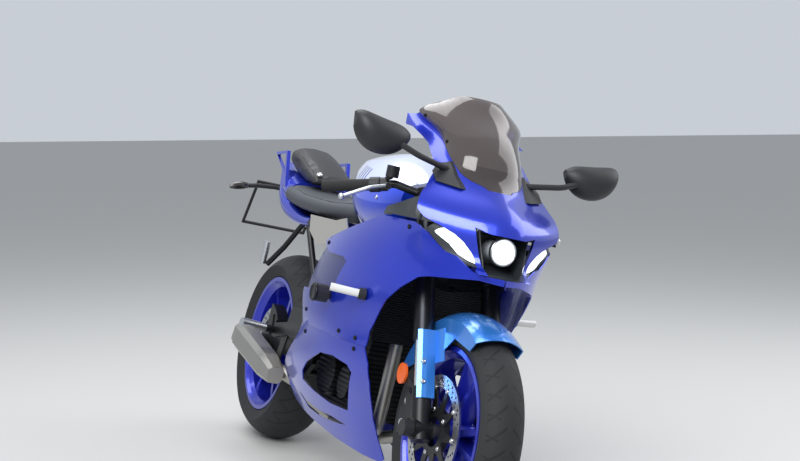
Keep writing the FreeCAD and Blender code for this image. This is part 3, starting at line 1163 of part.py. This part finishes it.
for piece in SUB_PARTS:
    piece.Shape.exportStep("parts/" + piece.Label + ".step")
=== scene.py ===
"""Look of the sport motorcycle: materials, lights and camera, and the pieces drawn finer than the CAD."""
import bpy
import bmesh
import math
from mathutils import Matrix, Vector


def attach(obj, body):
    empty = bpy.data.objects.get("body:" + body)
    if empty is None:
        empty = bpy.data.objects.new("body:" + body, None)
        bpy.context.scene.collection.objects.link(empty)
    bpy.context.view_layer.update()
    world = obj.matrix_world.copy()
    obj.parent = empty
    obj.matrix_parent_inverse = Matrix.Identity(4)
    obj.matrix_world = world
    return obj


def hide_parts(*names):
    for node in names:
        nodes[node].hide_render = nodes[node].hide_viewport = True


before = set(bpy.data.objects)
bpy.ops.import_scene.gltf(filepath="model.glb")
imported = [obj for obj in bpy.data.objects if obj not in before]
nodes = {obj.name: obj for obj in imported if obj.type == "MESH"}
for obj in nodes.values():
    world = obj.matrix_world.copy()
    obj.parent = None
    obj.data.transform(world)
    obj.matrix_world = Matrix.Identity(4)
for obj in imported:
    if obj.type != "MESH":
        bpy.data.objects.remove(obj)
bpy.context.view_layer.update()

# The CAD leans the upright bike over by this angle and then centres it: metres and degrees
LEAN = 12.5
PITCH = 0.0407
SHIFT = Vector((-0.63316, -0.21185, 0.0))
LIFT = 0.002433
TO_ROW = (Matrix.Translation(SHIFT) @ Matrix.Translation((0, 0, LIFT))
          @ Matrix.Rotation(math.radians(PITCH), 4, "Y") @ Matrix.Rotation(math.radians(-LEAN), 4, "X"))
# The axles of the upright bike: the front one's x and z in millimetres, and both in metres
FRONT_X, FRONT_Z = 1395, 300
FRONT_AXLE = Vector((FRONT_X / 1000, 0, FRONT_Z / 1000))
REAR_AXLE = Vector((0, 0, 0.315))


# Shader helpers: one small function per node kind, so a material reads as a list of steps
class Shader:
    """A node material with its main shader ready to use."""

    def __init__(self, name, color, roughness, metallic=0.0, coat=0.0, **more):
        self.material = bpy.data.materials.new(name)
        self.material.use_nodes = True
        self.tree = self.material.node_tree
        self.bsdf = self.tree.nodes["Principled BSDF"]
        self.set("Base Color", (*srgb(color), 1.0))
        self.set("Roughness", roughness)
        self.set("Metallic", metallic)
        self.set("Coat Weight", coat)
        self.set("Coat Roughness", 0.08)
        for socket, value in more.items():
            self.set(socket.replace("_", " "), value)

    def set(self, socket, value):
        self.bsdf.inputs[socket].default_value = value

    def link(self, source, socket):
        self.tree.links.new(source, self.bsdf.inputs[socket])

    def node(self, kind, **settings):
        made = self.tree.nodes.new(kind)
        for key, value in settings.items():
            setattr(made, key, value)
        return made

    def math(self, operation, a, b=0.0):
        made = self.node("ShaderNodeMath", operation=operation)
        for slot, value in enumerate((a, b)):
            if hasattr(value, "is_linked"):
                self.tree.links.new(value, made.inputs[slot])
            else:
                made.inputs[slot].default_value = value
        return made.outputs[0]

    def length(self, a, b):
        squares = self.math("ADD", self.math("MULTIPLY", a, a), self.math("MULTIPLY", b, b))
        return self.math("SQRT", squares)

    def mix(self, factor, first, second):
        made = self.node("ShaderNodeMix", data_type="RGBA")
        self.tree.links.new(factor, made.inputs["Factor"])
        for slot, value in (("A", first), ("B", second)):
            socket = [s for s in made.inputs if s.name == slot and s.type == "RGBA"][0]
            if hasattr(value, "is_linked"):
                self.tree.links.new(value, socket)
            else:
                socket.default_value = (*srgb(value), 1.0)
        return [s for s in made.outputs if s.type == "RGBA"][0]

    def bike_coordinates(self):
        """x, y and z of the upright bike, in metres."""
        coordinates = self.node("ShaderNodeTexCoord")
        moved = self.node("ShaderNodeVectorMath", operation="SUBTRACT")
        moved.inputs[1].default_value = SHIFT + Vector((0, 0, LIFT))
        turned = self.node("ShaderNodeVectorRotate", rotation_type="X_AXIS")
        turned.inputs["Angle"].default_value = math.radians(LEAN)
        split = self.node("ShaderNodeSeparateXYZ")
        self.tree.links.new(coordinates.outputs["Object"], moved.inputs[0])
        self.tree.links.new(moved.outputs[0], turned.inputs["Vector"])
        self.tree.links.new(turned.outputs[0], split.inputs[0])
        return split.outputs[0], split.outputs[1], split.outputs[2]

    def bump(self, height, strength, distance):
        made = self.node("ShaderNodeBump")
        made.inputs["Strength"].default_value = strength
        made.inputs["Distance"].default_value = distance
        self.tree.links.new(height, made.inputs["Height"])
        self.link(made.outputs[0], "Normal")

    def noise(self, scale, detail=3.0):
        made = self.node("ShaderNodeTexNoise")
        made.inputs["Scale"].default_value = scale
        made.inputs["Detail"].default_value = detail
        coordinates = self.node("ShaderNodeTexCoord")
        self.tree.links.new(coordinates.outputs["Object"], made.inputs["Vector"])
        return made.outputs[0]


def srgb(code):
    """Linear colour of a hex code."""
    values = [int(code[i:i + 2], 16) / 255 for i in (1, 3, 5)]
    return [v / 12.92 if v <= 0.04045 else ((v + 0.055) / 1.055) ** 2.4 for v in values]


def plain(name, color, roughness, metallic=0.0, coat=0.0, bump=0.0, bump_scale=900.0, **more):
    shader = Shader(name, color, roughness, metallic, coat, **more)
    if bump:
        shader.bump(shader.noise(bump_scale), bump, 0.0006)
    return shader.material


def wear(obj, material):
    obj.data.materials.clear()
    obj.data.materials.append(material)
    for face in obj.data.polygons:
        face.material_index = 0


def spread(shader, axle):
    """Radius, turn and side distance of a wheel's points, for patterns that run round it."""
    x, y, z = shader.bike_coordinates()
    dx = shader.math("SUBTRACT", x, axle[0])
    dz = shader.math("SUBTRACT", z, axle[2])
    radius = shader.length(dx, dz)
    return radius, shader.math("ARCTAN2", dz, dx), shader.math("ABSOLUTE", y)


def tyre_rubber(name, axle, outer, half_width, count):
    """Black rubber with swept grooves cut into the tread and a ribbed sidewall; the grooves are coloured
    near-black as painted shade.
    """
    shader = Shader(name, "#17181a", 0.74)
    radius, turn, side = spread(shader, axle)
    around = shader.math("MULTIPLY", turn, count / (2 * math.pi))

    def grooves(sweep, half_groove):
        slanted = shader.math("ADD", around, shader.math("MULTIPLY", side, sweep))
        off = shader.math("ABSOLUTE", shader.math("SUBTRACT", shader.math("FRACT", slanted), 0.5))
        return shader.math("LESS_THAN", off, half_groove)

    cut = grooves(17.0, 0.075)
    short = shader.math("MULTIPLY", grooves(-9.0, 0.05),
                        shader.math("GREATER_THAN", side, half_width * 0.42))
    cut = shader.math("MAXIMUM", cut, short)
    inside = shader.math("MULTIPLY", shader.math("GREATER_THAN", side, half_width * 0.12),
                         shader.math("LESS_THAN", side, half_width * 0.86))
    tread = shader.math("MULTIPLY", inside, shader.math("GREATER_THAN", radius, outer * 0.86))
    groove = shader.math("MULTIPLY", cut, tread)
    rib = shader.math("MULTIPLY", shader.math("SINE", shader.math("MULTIPLY", radius, 1400.0)), 0.12)
    ground = shader.math("ADD", shader.noise(420.0), rib)
    height = shader.math("SUBTRACT", ground, shader.math("MULTIPLY", groove, 7.0))
    shader.bump(height, 0.5, 0.0009)
    # Painted shade: the grooves are coloured near-black.
    shader.link(shader.mix(groove, "#1b1c1e", "#070708"), "Base Color")
    return shader.material


def disc_steel(name, axle, inner):
    """Ground steel outside, black carrier inside a radius."""
    shader = Shader(name, "#b4b5b6", 0.27, 1.0)
    radius, _, _ = spread(shader, axle)
    black = shader.math("LESS_THAN", radius, inner)
    shader.link(shader.mix(black, "#b9babc", "#141416"), "Base Color")
    shader.link(shader.math("SUBTRACT", 1.0, black), "Metallic")
    shader.link(shader.math("ADD", shader.math("MULTIPLY", black, 0.22), 0.26), "Roughness")
    rings = shader.math("SINE", shader.math("MULTIPLY", radius, 9000.0))
    shader.bump(rings, 0.06, 0.0002)
    return shader.material


def metal_flake(name, color, deep, roughness, coat):
    """Blue metallic lacquer: fine flakes under a clear coat, a little deeper in places."""
    shader = Shader(name, color, roughness, 0.55, coat)
    cloud = shader.noise(5.0, 1.0)
    flake = shader.noise(2600.0, 1.0)
    amount = shader.math("ADD", shader.math("MULTIPLY", cloud, 0.5), shader.math("MULTIPLY", flake, 0.5))
    shader.link(shader.mix(amount, deep, color), "Base Color")
    shader.bump(flake, 0.05, 0.0002)
    return shader.material


def brushed(name, color, roughness, along):
    """Metal brushed in one direction."""
    shader = Shader(name, color, roughness, 1.0)
    coordinates = shader.node("ShaderNodeTexCoord")
    stretched = shader.node("ShaderNodeMapping")
    stretched.inputs["Scale"].default_value = along
    shader.tree.links.new(coordinates.outputs["Object"], stretched.inputs["Vector"])
    streaks = shader.node("ShaderNodeTexNoise")
    streaks.inputs["Detail"].default_value = 6.0
    streaks.inputs["Scale"].default_value = 12.0
    shader.tree.links.new(stretched.outputs[0], streaks.inputs["Vector"])
    varied = shader.math("MULTIPLY", streaks.outputs[0], 0.25)
    shader.link(shader.math("ADD", varied, roughness - 0.12), "Roughness")
    shader.bump(streaks.outputs[0], 0.12, 0.0005)
    return shader.material


def tank_paint_and_reflection():
    """Glossy blue tank with a painted sky reflection, pale blue-white, above its crease, and four slanted
    dark bars in it on each side.
    """
    crease, bar_start, bar_pitch, bar_count = 0.888, 0.700, 0.0235, 4.0
    shader = Shader("tank_paint_and_reflection", "#1c44dc", 0.12, 0.25, 1.0)
    x, y, z = shader.bike_coordinates()
    # Painted reflection: above the crease the tank is coloured pale blue-white for the sky it reflects.
    painted_sky_reflection = shader.math("GREATER_THAN", shader.math("SUBTRACT", z, shader.math("MULTIPLY", x, 0.02)), crease)
    slant = shader.math("SUBTRACT", x, shader.math("MULTIPLY", shader.math("SUBTRACT", z, 0.92), 0.5))
    place = shader.math("DIVIDE", shader.math("SUBTRACT", slant, bar_start), bar_pitch)
    bars = shader.math("LESS_THAN", shader.math("FRACT", place), 0.42)
    row = shader.math("MULTIPLY", shader.math("GREATER_THAN", place, 0.0),
                      shader.math("LESS_THAN", place, bar_count))
    low = shader.math("GREATER_THAN", z, 0.912)
    top = shader.math("LESS_THAN", shader.math("ADD", z, shader.math("MULTIPLY", slant, 0.12)), 1.040)
    bars = shader.math("MULTIPLY", shader.math("MULTIPLY", bars, row), shader.math("MULTIPLY", low, top))
    bars = shader.math("MULTIPLY", bars, shader.math("GREATER_THAN", shader.math("ABSOLUTE", y), 0.06))
    # The pale painted reflection, broken by the dark bars.
    painted_reflection_with_bars = shader.mix(bars, "#cfd8f6", "#16268a")
    shader.link(shader.mix(painted_sky_reflection, "#1c44dc", painted_reflection_with_bars), "Base Color")
    shader.bump(shader.noise(2400.0, 1.0), 0.02, 0.0002)
    return shader.material


def vinyl(name, color, roughness):
    """Seat cover with a pebbled grain."""
    shader = Shader(name, color, roughness, 0.0, 0.1)
    grain = shader.node("ShaderNodeTexVoronoi")
    grain.inputs["Scale"].default_value = 520.0
    coordinates = shader.node("ShaderNodeTexCoord")
    shader.tree.links.new(coordinates.outputs["Object"], grain.inputs["Vector"])
    cloud = shader.noise(9.0, 2.0)
    shade = shader.math("MULTIPLY", cloud, 0.5)
    lighter = "#" + "".join("%02x" % min(255, int(color[i:i + 2], 16) + 16) for i in (1, 3, 5))
    shader.link(shader.mix(shade, color, lighter), "Base Color")
    shader.bump(grain.outputs["Distance"], 0.35, 0.0008)
    return shader.material


def lit(name, centre, radius, bright):
    """Lamp glass, brightest in the middle of the lit part."""
    shader = Shader(name, "#eef6ff", 0.12, 0.0, 1.0)
    x, y, z = shader.bike_coordinates()
    dy = shader.math("SUBTRACT", y, centre[1])
    dz = shader.math("SUBTRACT", z, centre[2])
    off = shader.length(dy, dz)
    fade = shader.math("SUBTRACT", 1.25, shader.math("DIVIDE", off, radius))
    front = shader.math("GREATER_THAN", x, centre[0])
    shown = shader.math("MAXIMUM", front, shader.math("GREATER_THAN", off, radius * 1.5))
    level = shader.math("MULTIPLY", shader.math("MAXIMUM", fade, 0.22), bright)
    level = shader.math("MULTIPLY", level, shown)
    shader.set("Emission Color", (0.86, 0.96, 1.0, 1.0))
    shader.link(level, "Emission Strength")
    shader.bump(shader.noise(300.0, 1.0), 0.05, 0.0003)
    return shader.material


def two_tone(name, first, second, axis, limit, roughness, metallic=0.0, coat=0.0):
    """One finish below a bike coordinate and another above it."""
    shader = Shader(name, first, roughness, metallic, coat)
    place = shader.bike_coordinates()[axis]
    shader.link(shader.mix(shader.math("GREATER_THAN", place, limit), first, second), "Base Color")
    shader.bump(shader.noise(700.0), 0.08, 0.0004)
    return shader.material


def finned(name, color, axis, pitch):
    """Dark metal with fins of an even pitch, the gaps between the fins coloured near-black as painted shade.
    """
    shader = Shader(name, color, 0.45, 0.6)
    place = shader.bike_coordinates()[axis]
    wave = shader.math("SINE", shader.math("MULTIPLY", place, 2 * math.pi / pitch))
    # Painted shade: the gaps between the fins are coloured near-black.
    shader.link(shader.mix(shader.math("GREATER_THAN", wave, 0.0), "#0c0d0e", color), "Base Color")
    shader.bump(wave, 0.6, 0.002)
    return shader.material


FAIRING = metal_flake("fairing_blue", "#1f3ad2", "#10249c", 0.27, 0.8)
# Painted shade: the recessed side panels get a darker blue than the cowls for the darker look of the recess;
# the real panels wear the cowls' paint.
SHADED_RECESS_BLUE = metal_flake("recess_blue_painted_shade", "#1a2686", "#10185e", 0.36, 0.5)
WHEEL_BLUE = metal_flake("wheel_blue", "#2a36c4", "#1a2296", 0.30, 0.6)
BLACK_PLASTIC = plain("black_plastic", "#1b1c1f", 0.52, bump=0.12, bump_scale=700.0)
DARK_PANEL = plain("dark_panel", "#23282c", 0.42, bump=0.1, bump_scale=700.0)
BLACK_PAINT = plain("black_paint", "#141517", 0.38, 0.35, bump=0.06)
DARK_METAL = plain("dark_metal", "#26282c", 0.33, 0.75, bump=0.03)
CHROME = brushed("bright_tube", "#e2e5e9", 0.20, (1.0, 1.0, 40.0))
STEEL = brushed("steel", "#a9aaab", 0.34, (30.0, 1.0, 30.0))
FRONT_DISC = disc_steel("front_disc_steel", FRONT_AXLE, 0.116)
REAR_DISC = disc_steel("rear_disc_steel", REAR_AXLE, 0.088)
SATIN_SILVER = brushed("satin_silver", "#aaa8a3", 0.42, (2.0, 40.0, 40.0))
SILVER = brushed("silver", "#c6c9cd", 0.36, (20.0, 2.0, 20.0))
RUBBER = plain("grip_rubber", "#131313", 0.78, bump=0.5, bump_scale=260.0)
FRONT_TYRE = tyre_rubber("front_tyre_rubber", FRONT_AXLE, 0.300, 0.060, 34)
REAR_TYRE = tyre_rubber("rear_tyre_rubber", REAR_AXLE, 0.315, 0.090, 30)
FENDER_BLUE = metal_flake("fender_blue", "#3f8fe8", "#2f7bd6", 0.26, 0.9)
AMBER = plain("amber", "#e2621a", 0.25, coat=0.5, bump=0.4, bump_scale=240.0)
SCREEN = plain("smoked_screen", "#756a68", 0.05, coat=1.0, bump=0.01, Transmission_Weight=0.8, IOR=1.12)
LAMP = lit("lit_lamp", (1.442, 0, 0.790), 0.030, 6.0)
TANK = tank_paint_and_reflection()
SEAT_GREY = vinyl("seat_grey", "#373b41", 0.58)
SEAT_BLACK = vinyl("seat_black", "#17181c", 0.48)
RED = plain("red_lens", "#7d0d10", 0.15, coat=0.6, bump=0.3, bump_scale=260.0)
CLEAR = two_tone("signal_lens", "#26211f", "#d3d3cf", 0, 0.3, 0.16, 0.0, 0.8)
MIRROR = plain("mirror", "#d7dade", 0.03, 1.0, bump=0.004)
PALE = brushed("pale_silver", "#cfcac2", 0.42, (10.0, 10.0, 2.0))
RADIATOR = finned("radiator_fins", "#2a2c2f", 2, 0.0065)
ENGINE = finned("engine_cast", "#232528", 2, 0.014)
POD = plain("pod_black", "#101113", 0.3, coat=0.5, bump=0.05)

FINISH = {
    FAIRING: "side_cowls belly_cowls nose_cowl tail_cowl", SHADED_RECESS_BLUE: "side_recess_panels",
    WHEEL_BLUE: "front_rim rear_rim", DARK_PANEL: "inner_panels",
    BLACK_PLASTIC: "bar_controls rear_bobbins front_axle_bobbins plate_bracket mirrors front_signal_bases"
                   " frame_sliders",
    BLACK_PAINT: "main_frame subframe swingarm rear_shock rear_caliper front_calipers fork_feet clip_on_bars"
                 " side_stand rearset_brackets",
    DARK_METAL: "triple_clamps fork_outer_tubes", CHROME: "fork_inner_tubes",
    STEEL: "front_axle rear_axle rear_sprocket drive_chain", FRONT_DISC: "front_brake_discs",
    REAR_DISC: "rear_brake_disc", SATIN_SILVER: "muffler exhaust_pipes", SILVER: "hand_levers foot_pegs",
    RUBBER: "grips", FRONT_TYRE: "front_tyre", REAR_TYRE: "rear_tyre", FENDER_BLUE: "front_fender",
    AMBER: "fork_reflectors", SCREEN: "windscreen", LAMP: "front_lamps", TANK: "fuel_tank",
    SEAT_GREY: "rider_seat", SEAT_BLACK: "pillion_seat", RED: "tail_lamp", CLEAR: "turn_signal_lenses",
    MIRROR: "mirror_glasses", PALE: "side_covers", RADIATOR: "radiator", ENGINE: "engine",
    POD: "instrument_pod",
}
for material, names in FINISH.items():
    for name in names.split():
        wear(nodes[name], material)


# Pieces drawn finer than the CAD. Places are those of the upright bike in millimetres
def at_bike(x, y, z):
    return TO_ROW @ Vector((x / 1000, y / 1000, z / 1000))


def way_of(x, y, z):
    return (TO_ROW.to_3x3() @ Vector((x, y, z))).normalized()


def made(name, mesh, material, body):
    """A new object from a bmesh, with its finish, riding on a body."""
    data = bpy.data.meshes.new(name)
    mesh.to_mesh(data)
    mesh.free()
    obj = bpy.data.objects.new(name, data)
    bpy.context.scene.collection.objects.link(obj)
    for face in data.polygons:
        face.use_smooth = True
    wear(obj, material)
    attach(obj, body)
    return obj


def turned_into(mesh, profile, place, way, sides=20):
    """Adds a profile of (radius, height) pairs in millimetres, turned about a direction at a place."""
    turn = way.to_track_quat("Z", "Y").to_matrix()
    rings = []
    for radius, height in profile:
        ring = []
        for i in range(sides):
            angle = 2 * math.pi * i / sides
            point = Vector((radius * math.cos(angle), radius * math.sin(angle), height)) / 1000
            ring.append(mesh.verts.new(place + turn @ point))
        rings.append(ring)
    for ring, after in zip(rings, rings[1:]):
        for i in range(sides):
            j = (i + 1) % sides
            mesh.faces.new((ring[i], ring[j], after[j], after[i]))
    mesh.faces.new(rings[-1])
    mesh.faces.new(rings[0][::-1])


def hit(name, place, way):
    """The first point of a CAD node on a line, and the surface's direction there."""
    node = nodes[name]
    back = node.matrix_world.inverted()
    found, point, normal, _ = node.ray_cast(back @ place, (back.to_3x3() @ way).normalized())
    if not found:
        raise RuntimeError("no surface of " + name + " there")
    world = node.matrix_world @ point
    outward = (node.matrix_world.to_3x3() @ normal).normalized()
    return world, outward if outward.dot(way) < 0 else -outward


BUTTON = [(1.0, -0.4), (1.0, 0.25), (0.86, 0.48), (0.6, 0.6), (0.42, 0.6), (0.40, 0.2)]


def heads_on(name, node, spots, radius, material, body):
    """Round screw heads with a socket, on a node's outer face, at x and z places of each side."""
    mesh = bmesh.new()
    for x, z in spots:
        for side in (-1, 1):
            place, outward = hit(node, at_bike(x, side * 500, z), way_of(0, -side, 0))
            turned_into(mesh, [(r * radius, h * radius) for r, h in BUTTON], place, outward)
    return made(name, mesh, material, body)


def heads_at(name, spots, radius, material, body):
    """Screw heads at full places with directions."""
    mesh = bmesh.new()
    for place, way in spots:
        turned_into(mesh, [(r * radius, h * radius) for r, h in BUTTON], at_bike(*place), way_of(*way))
    return made(name, mesh, material, body)


SCREW = plain("screw_black", "#1a1a1c", 0.35, 0.8, bump=0.05)
BOLT = plain("bolt_silver", "#c9cbce", 0.25, 1.0, bump=0.03)
COWL_SPOTS = [(1090, 478), (1000, 482), (720, 505), (1290, 806), (800, 712)]
heads_on("cowl_screws", "side_cowls", COWL_SPOTS, 6.5, SCREW, "chassis")
heads_on("belly_screws", "belly_cowls", [(1090, 448), (720, 440)], 6.5, SCREW, "chassis")
heads_on("screen_screws", "windscreen", [(1205, 1050), (1110, 1112)], 5.5, SCREW, "chassis")
heads_on("tank_screws", "fuel_tank", [(905, 868)], 6.0, BOLT, "chassis")


def round_axle(radius, angle, y):
    """A place beside the front wheel: a radius and a turn about its axle."""
    return FRONT_X + radius * math.cos(angle), y, FRONT_Z + radius * math.sin(angle)


# Circles of the small parts round the front axle, and the sides they sit on
RIVET_CIRCLE, BOLT_CIRCLE, DISC_SIDE = 117, 60, 64.5
PLUG_CIRCLE, CALIPER_SIDE = 138, 93.4
disc_bolts = []
disc_rivets = []
for i in range(10):
    angle = math.pi * 2 * i / 10
    for side in (-1, 1):
        disc_rivets.append((round_axle(RIVET_CIRCLE, angle, side * DISC_SIDE), (0, side, 0)))
        if i % 2:
            disc_bolts.append((round_axle(BOLT_CIRCLE, angle, side * DISC_SIDE), (0, side, 0)))
heads_at("front_disc_rivets", disc_rivets, 6.0, BOLT, "front_wheel")
heads_at("front_disc_bolts", disc_bolts, 6.5, BOLT, "front_wheel")
caliper_plugs = []
for side in (-1, 1):
    for degrees in (157, 183):
        place = round_axle(PLUG_CIRCLE, math.radians(degrees), side * CALIPER_SIDE)
        caliper_plugs.append((place, (0, side, 0)))
heads_at("caliper_plugs", caliper_plugs, 12.0, BOLT, "steering")


RAKE = math.radians(23.67)
FORK_FRONT = (math.cos(RAKE), 0, math.sin(RAKE))


def on_fork(height, reach, y):
    """A place in the fork's own frame: up the leg from the axle, forward of it and sideways."""
    return (FRONT_X - height * math.sin(RAKE) + reach * math.cos(RAKE), y,
            FRONT_Z + height * math.cos(RAKE) + reach * math.sin(RAKE))


fender_spots = [(on_fork(height, 31.5, side * 112), FORK_FRONT) for side in (-1, 1) for height in (174, 120)]
heads_at("fender_bolts", fender_spots, 6.5, BOLT, "steering")
LAMP_RING = [(34, 0), (37, 2), (37, 14), (34, 17), (31.2, 14), (30.6, 3)]
SLIDER_CAP = [(26.2, -3), (26.6, 0), (26.2, 3), (22, 4.4), (20, 3.2), (9, 2.4)]
mesh = bmesh.new()
turned_into(mesh, LAMP_RING, at_bike(1440, 0, 790), way_of(1, 0, 0), 48)
mesh.faces.ensure_lookup_table()
bmesh.ops.delete(mesh, geom=[f for f in mesh.faces if len(f.verts) > 4], context="FACES_ONLY")
made("lamp_ring", mesh, SILVER, "chassis")
mesh = bmesh.new()
for side in (-1, 1):
    turned_into(mesh, SLIDER_CAP, at_bike(925, side * 290, 572), way_of(0, side, 0), 40)
made("slider_caps", mesh, DARK_METAL, "chassis")


VOXEL = 0.006
CLOTH_FRAMES = 20


def padded_seat(name, node, material, inset, cap):
    """The seat's foam under its cover: the CAD solid drawn in, then puffed by a cloth run, at most by cap."""
    source = nodes[node]
    data = source.data.copy()
    pad = bpy.data.objects.new(name, data)
    bpy.context.scene.collection.objects.link(pad)
    pad.matrix_world = source.matrix_world.copy()
    bpy.context.view_layer.objects.active = pad
    for other in bpy.context.selected_objects:
        other.select_set(False)
    pad.select_set(True)
    remesh = pad.modifiers.new("voxels", "REMESH")
    remesh.mode = "VOXEL"
    remesh.voxel_size = VOXEL
    bpy.ops.object.modifier_apply(modifier=remesh.name)
    mesh = bmesh.new()
    mesh.from_mesh(pad.data)
    mesh.normal_update()
    for vertex in mesh.verts:
        vertex.co -= vertex.normal * inset
    mesh.to_mesh(pad.data)
    mesh.free()
    rest = [v.co.copy() for v in pad.data.vertices]
    cloth = pad.modifiers.new("cover", "CLOTH")
    cloth.settings.use_pressure = True
    cloth.settings.uniform_pressure_force = 4.0
    cloth.settings.effector_weights.gravity = 0
    cloth.settings.quality = 4
    cloth.point_cache.frame_start = 1
    cloth.point_cache.frame_end = CLOTH_FRAMES
    for frame_number in range(1, CLOTH_FRAMES + 1):
        bpy.context.scene.frame_set(frame_number)
    bpy.ops.object.modifier_apply(modifier=cloth.name)
    bpy.context.scene.frame_set(1)
    for vertex, start in zip(pad.data.vertices, rest):
        moved = vertex.co - start
        if moved.length > cap:
            vertex.co = start + moved * (cap / moved.length)
    smooth = pad.modifiers.new("smooth", "SMOOTH")
    smooth.iterations = 3
    bpy.ops.object.modifier_apply(modifier=smooth.name)
    finer = pad.modifiers.new("finer", "SUBSURF")
    finer.levels = 1
    bpy.ops.object.modifier_apply(modifier=finer.name)
    for face in pad.data.polygons:
        face.use_smooth = True
    wear(pad, material)
    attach(pad, "chassis")
    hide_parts(node)
    return pad


def seam(name, pad, points, radius, material):
    """A sewn line laid on a pad through the given places, sunk half into the cover."""
    curve = bpy.data.curves.new(name, "CURVE")
    curve.dimensions = "3D"
    curve.bevel_depth = radius
    spline = curve.splines.new("NURBS")
    laid = []
    back = pad.matrix_world.inverted()
    for place in points:
        _, near, _, _ = pad.closest_point_on_mesh(back @ at_bike(*place))
        laid.append(pad.matrix_world @ near)
    spline.points.add(len(laid) - 1)
    for point, place in zip(spline.points, laid):
        point.co = (*place, 1)
    spline.order_u = 3
    spline.use_endpoint_u = True
    obj = bpy.data.objects.new(name, curve)
    bpy.context.scene.collection.objects.link(obj)
    curve.materials.append(material)
    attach(obj, "chassis")


rider = padded_seat("rider_cushion", "rider_seat", SEAT_GREY, 0.003, 0.005)
pillion = padded_seat("pillion_cushion", "pillion_seat", SEAT_BLACK, 0.003, 0.005)
THREAD = plain("seam_thread", "#0d0d0f", 0.8, bump=0.3, bump_scale=900.0)
SEAM_RADIUS = 0.0011
RIDER_SEAM = [(40, 118, 862), (110, 122, 853), (200, 124, 840), (300, 116, 834), (400, 102, 833),
              (480, 86, 838), (555, 70, 846)]
PILLION_SEAM = [(130, 64, 900), (70, 72, 925), (0, 74, 948), (-70, 72, 970), (-140, 66, 992)]
for side, label in ((-1, "right"), (1, "left")):
    for name, pad, path in (("rider_seam_", rider, RIDER_SEAM), ("pillion_seam_", pillion, PILLION_SEAM)):
        seam(name + label, pad, [(x, side * y, z) for x, y, z in path], SEAM_RADIUS, THREAD)
heads_at("pillion_button", [((120, -58, 908), (0.35, -0.35, 0.87))], 11.0, BOLT, "chassis")

# Floor, light and the photo's camera
bpy.ops.mesh.primitive_plane_add(size=60)
floor = bpy.context.object
floor.name = "floor"
wear(floor, plain("floor_grey", "#b9b9b7", 0.9))
world = bpy.data.worlds.new("studio")
bpy.context.scene.world = world
world.use_nodes = True
world.node_tree.nodes["Background"].inputs["Color"].default_value = (0.83, 0.88, 0.95, 1)
world.node_tree.nodes["Background"].inputs["Strength"].default_value = 0.7


def area_light(name, place, target, size, power):
    data = bpy.data.lights.new(name, "AREA")
    data.size = size
    data.energy = power
    lamp = bpy.data.objects.new(name, data)
    lamp.location = place
    lamp.rotation_euler = (Vector(target) - Vector(place)).to_track_quat("-Z", "Y").to_euler()
    bpy.context.scene.collection.objects.link(lamp)


area_light("key", (3.0, -2.6, 3.6), (0, 0, 0.5), 2.6, 210)
area_light("fill", (0.5, 3.4, 2.6), (0, 0, 0.5), 3.0, 70)
area_light("top", (-1.5, -0.5, 4.2), (0, 0, 0.5), 3.0, 110)

camera_data = bpy.data.cameras.new("camera")
camera = bpy.data.objects.new("camera", camera_data)
bpy.context.scene.collection.objects.link(camera)
bpy.context.scene.camera = camera
camera_data.sensor_width = 36
camera_data.lens = 69.81
forward = Vector((-0.92140829, 0.3777111, -0.09132955))
right = Vector((0.3790005, 0.92539, 0.00345868))
up = Vector((-0.08582184, 0.03142709, 0.99581472))
camera.matrix_world = (Matrix.Translation(Vector((5.012165, -1.574148, 1.19148)) + SHIFT)
                       @ Matrix((right, up, -forward)).transposed().to_4x4())

scene = bpy.context.scene
scene.view_settings.view_transform = "Standard"
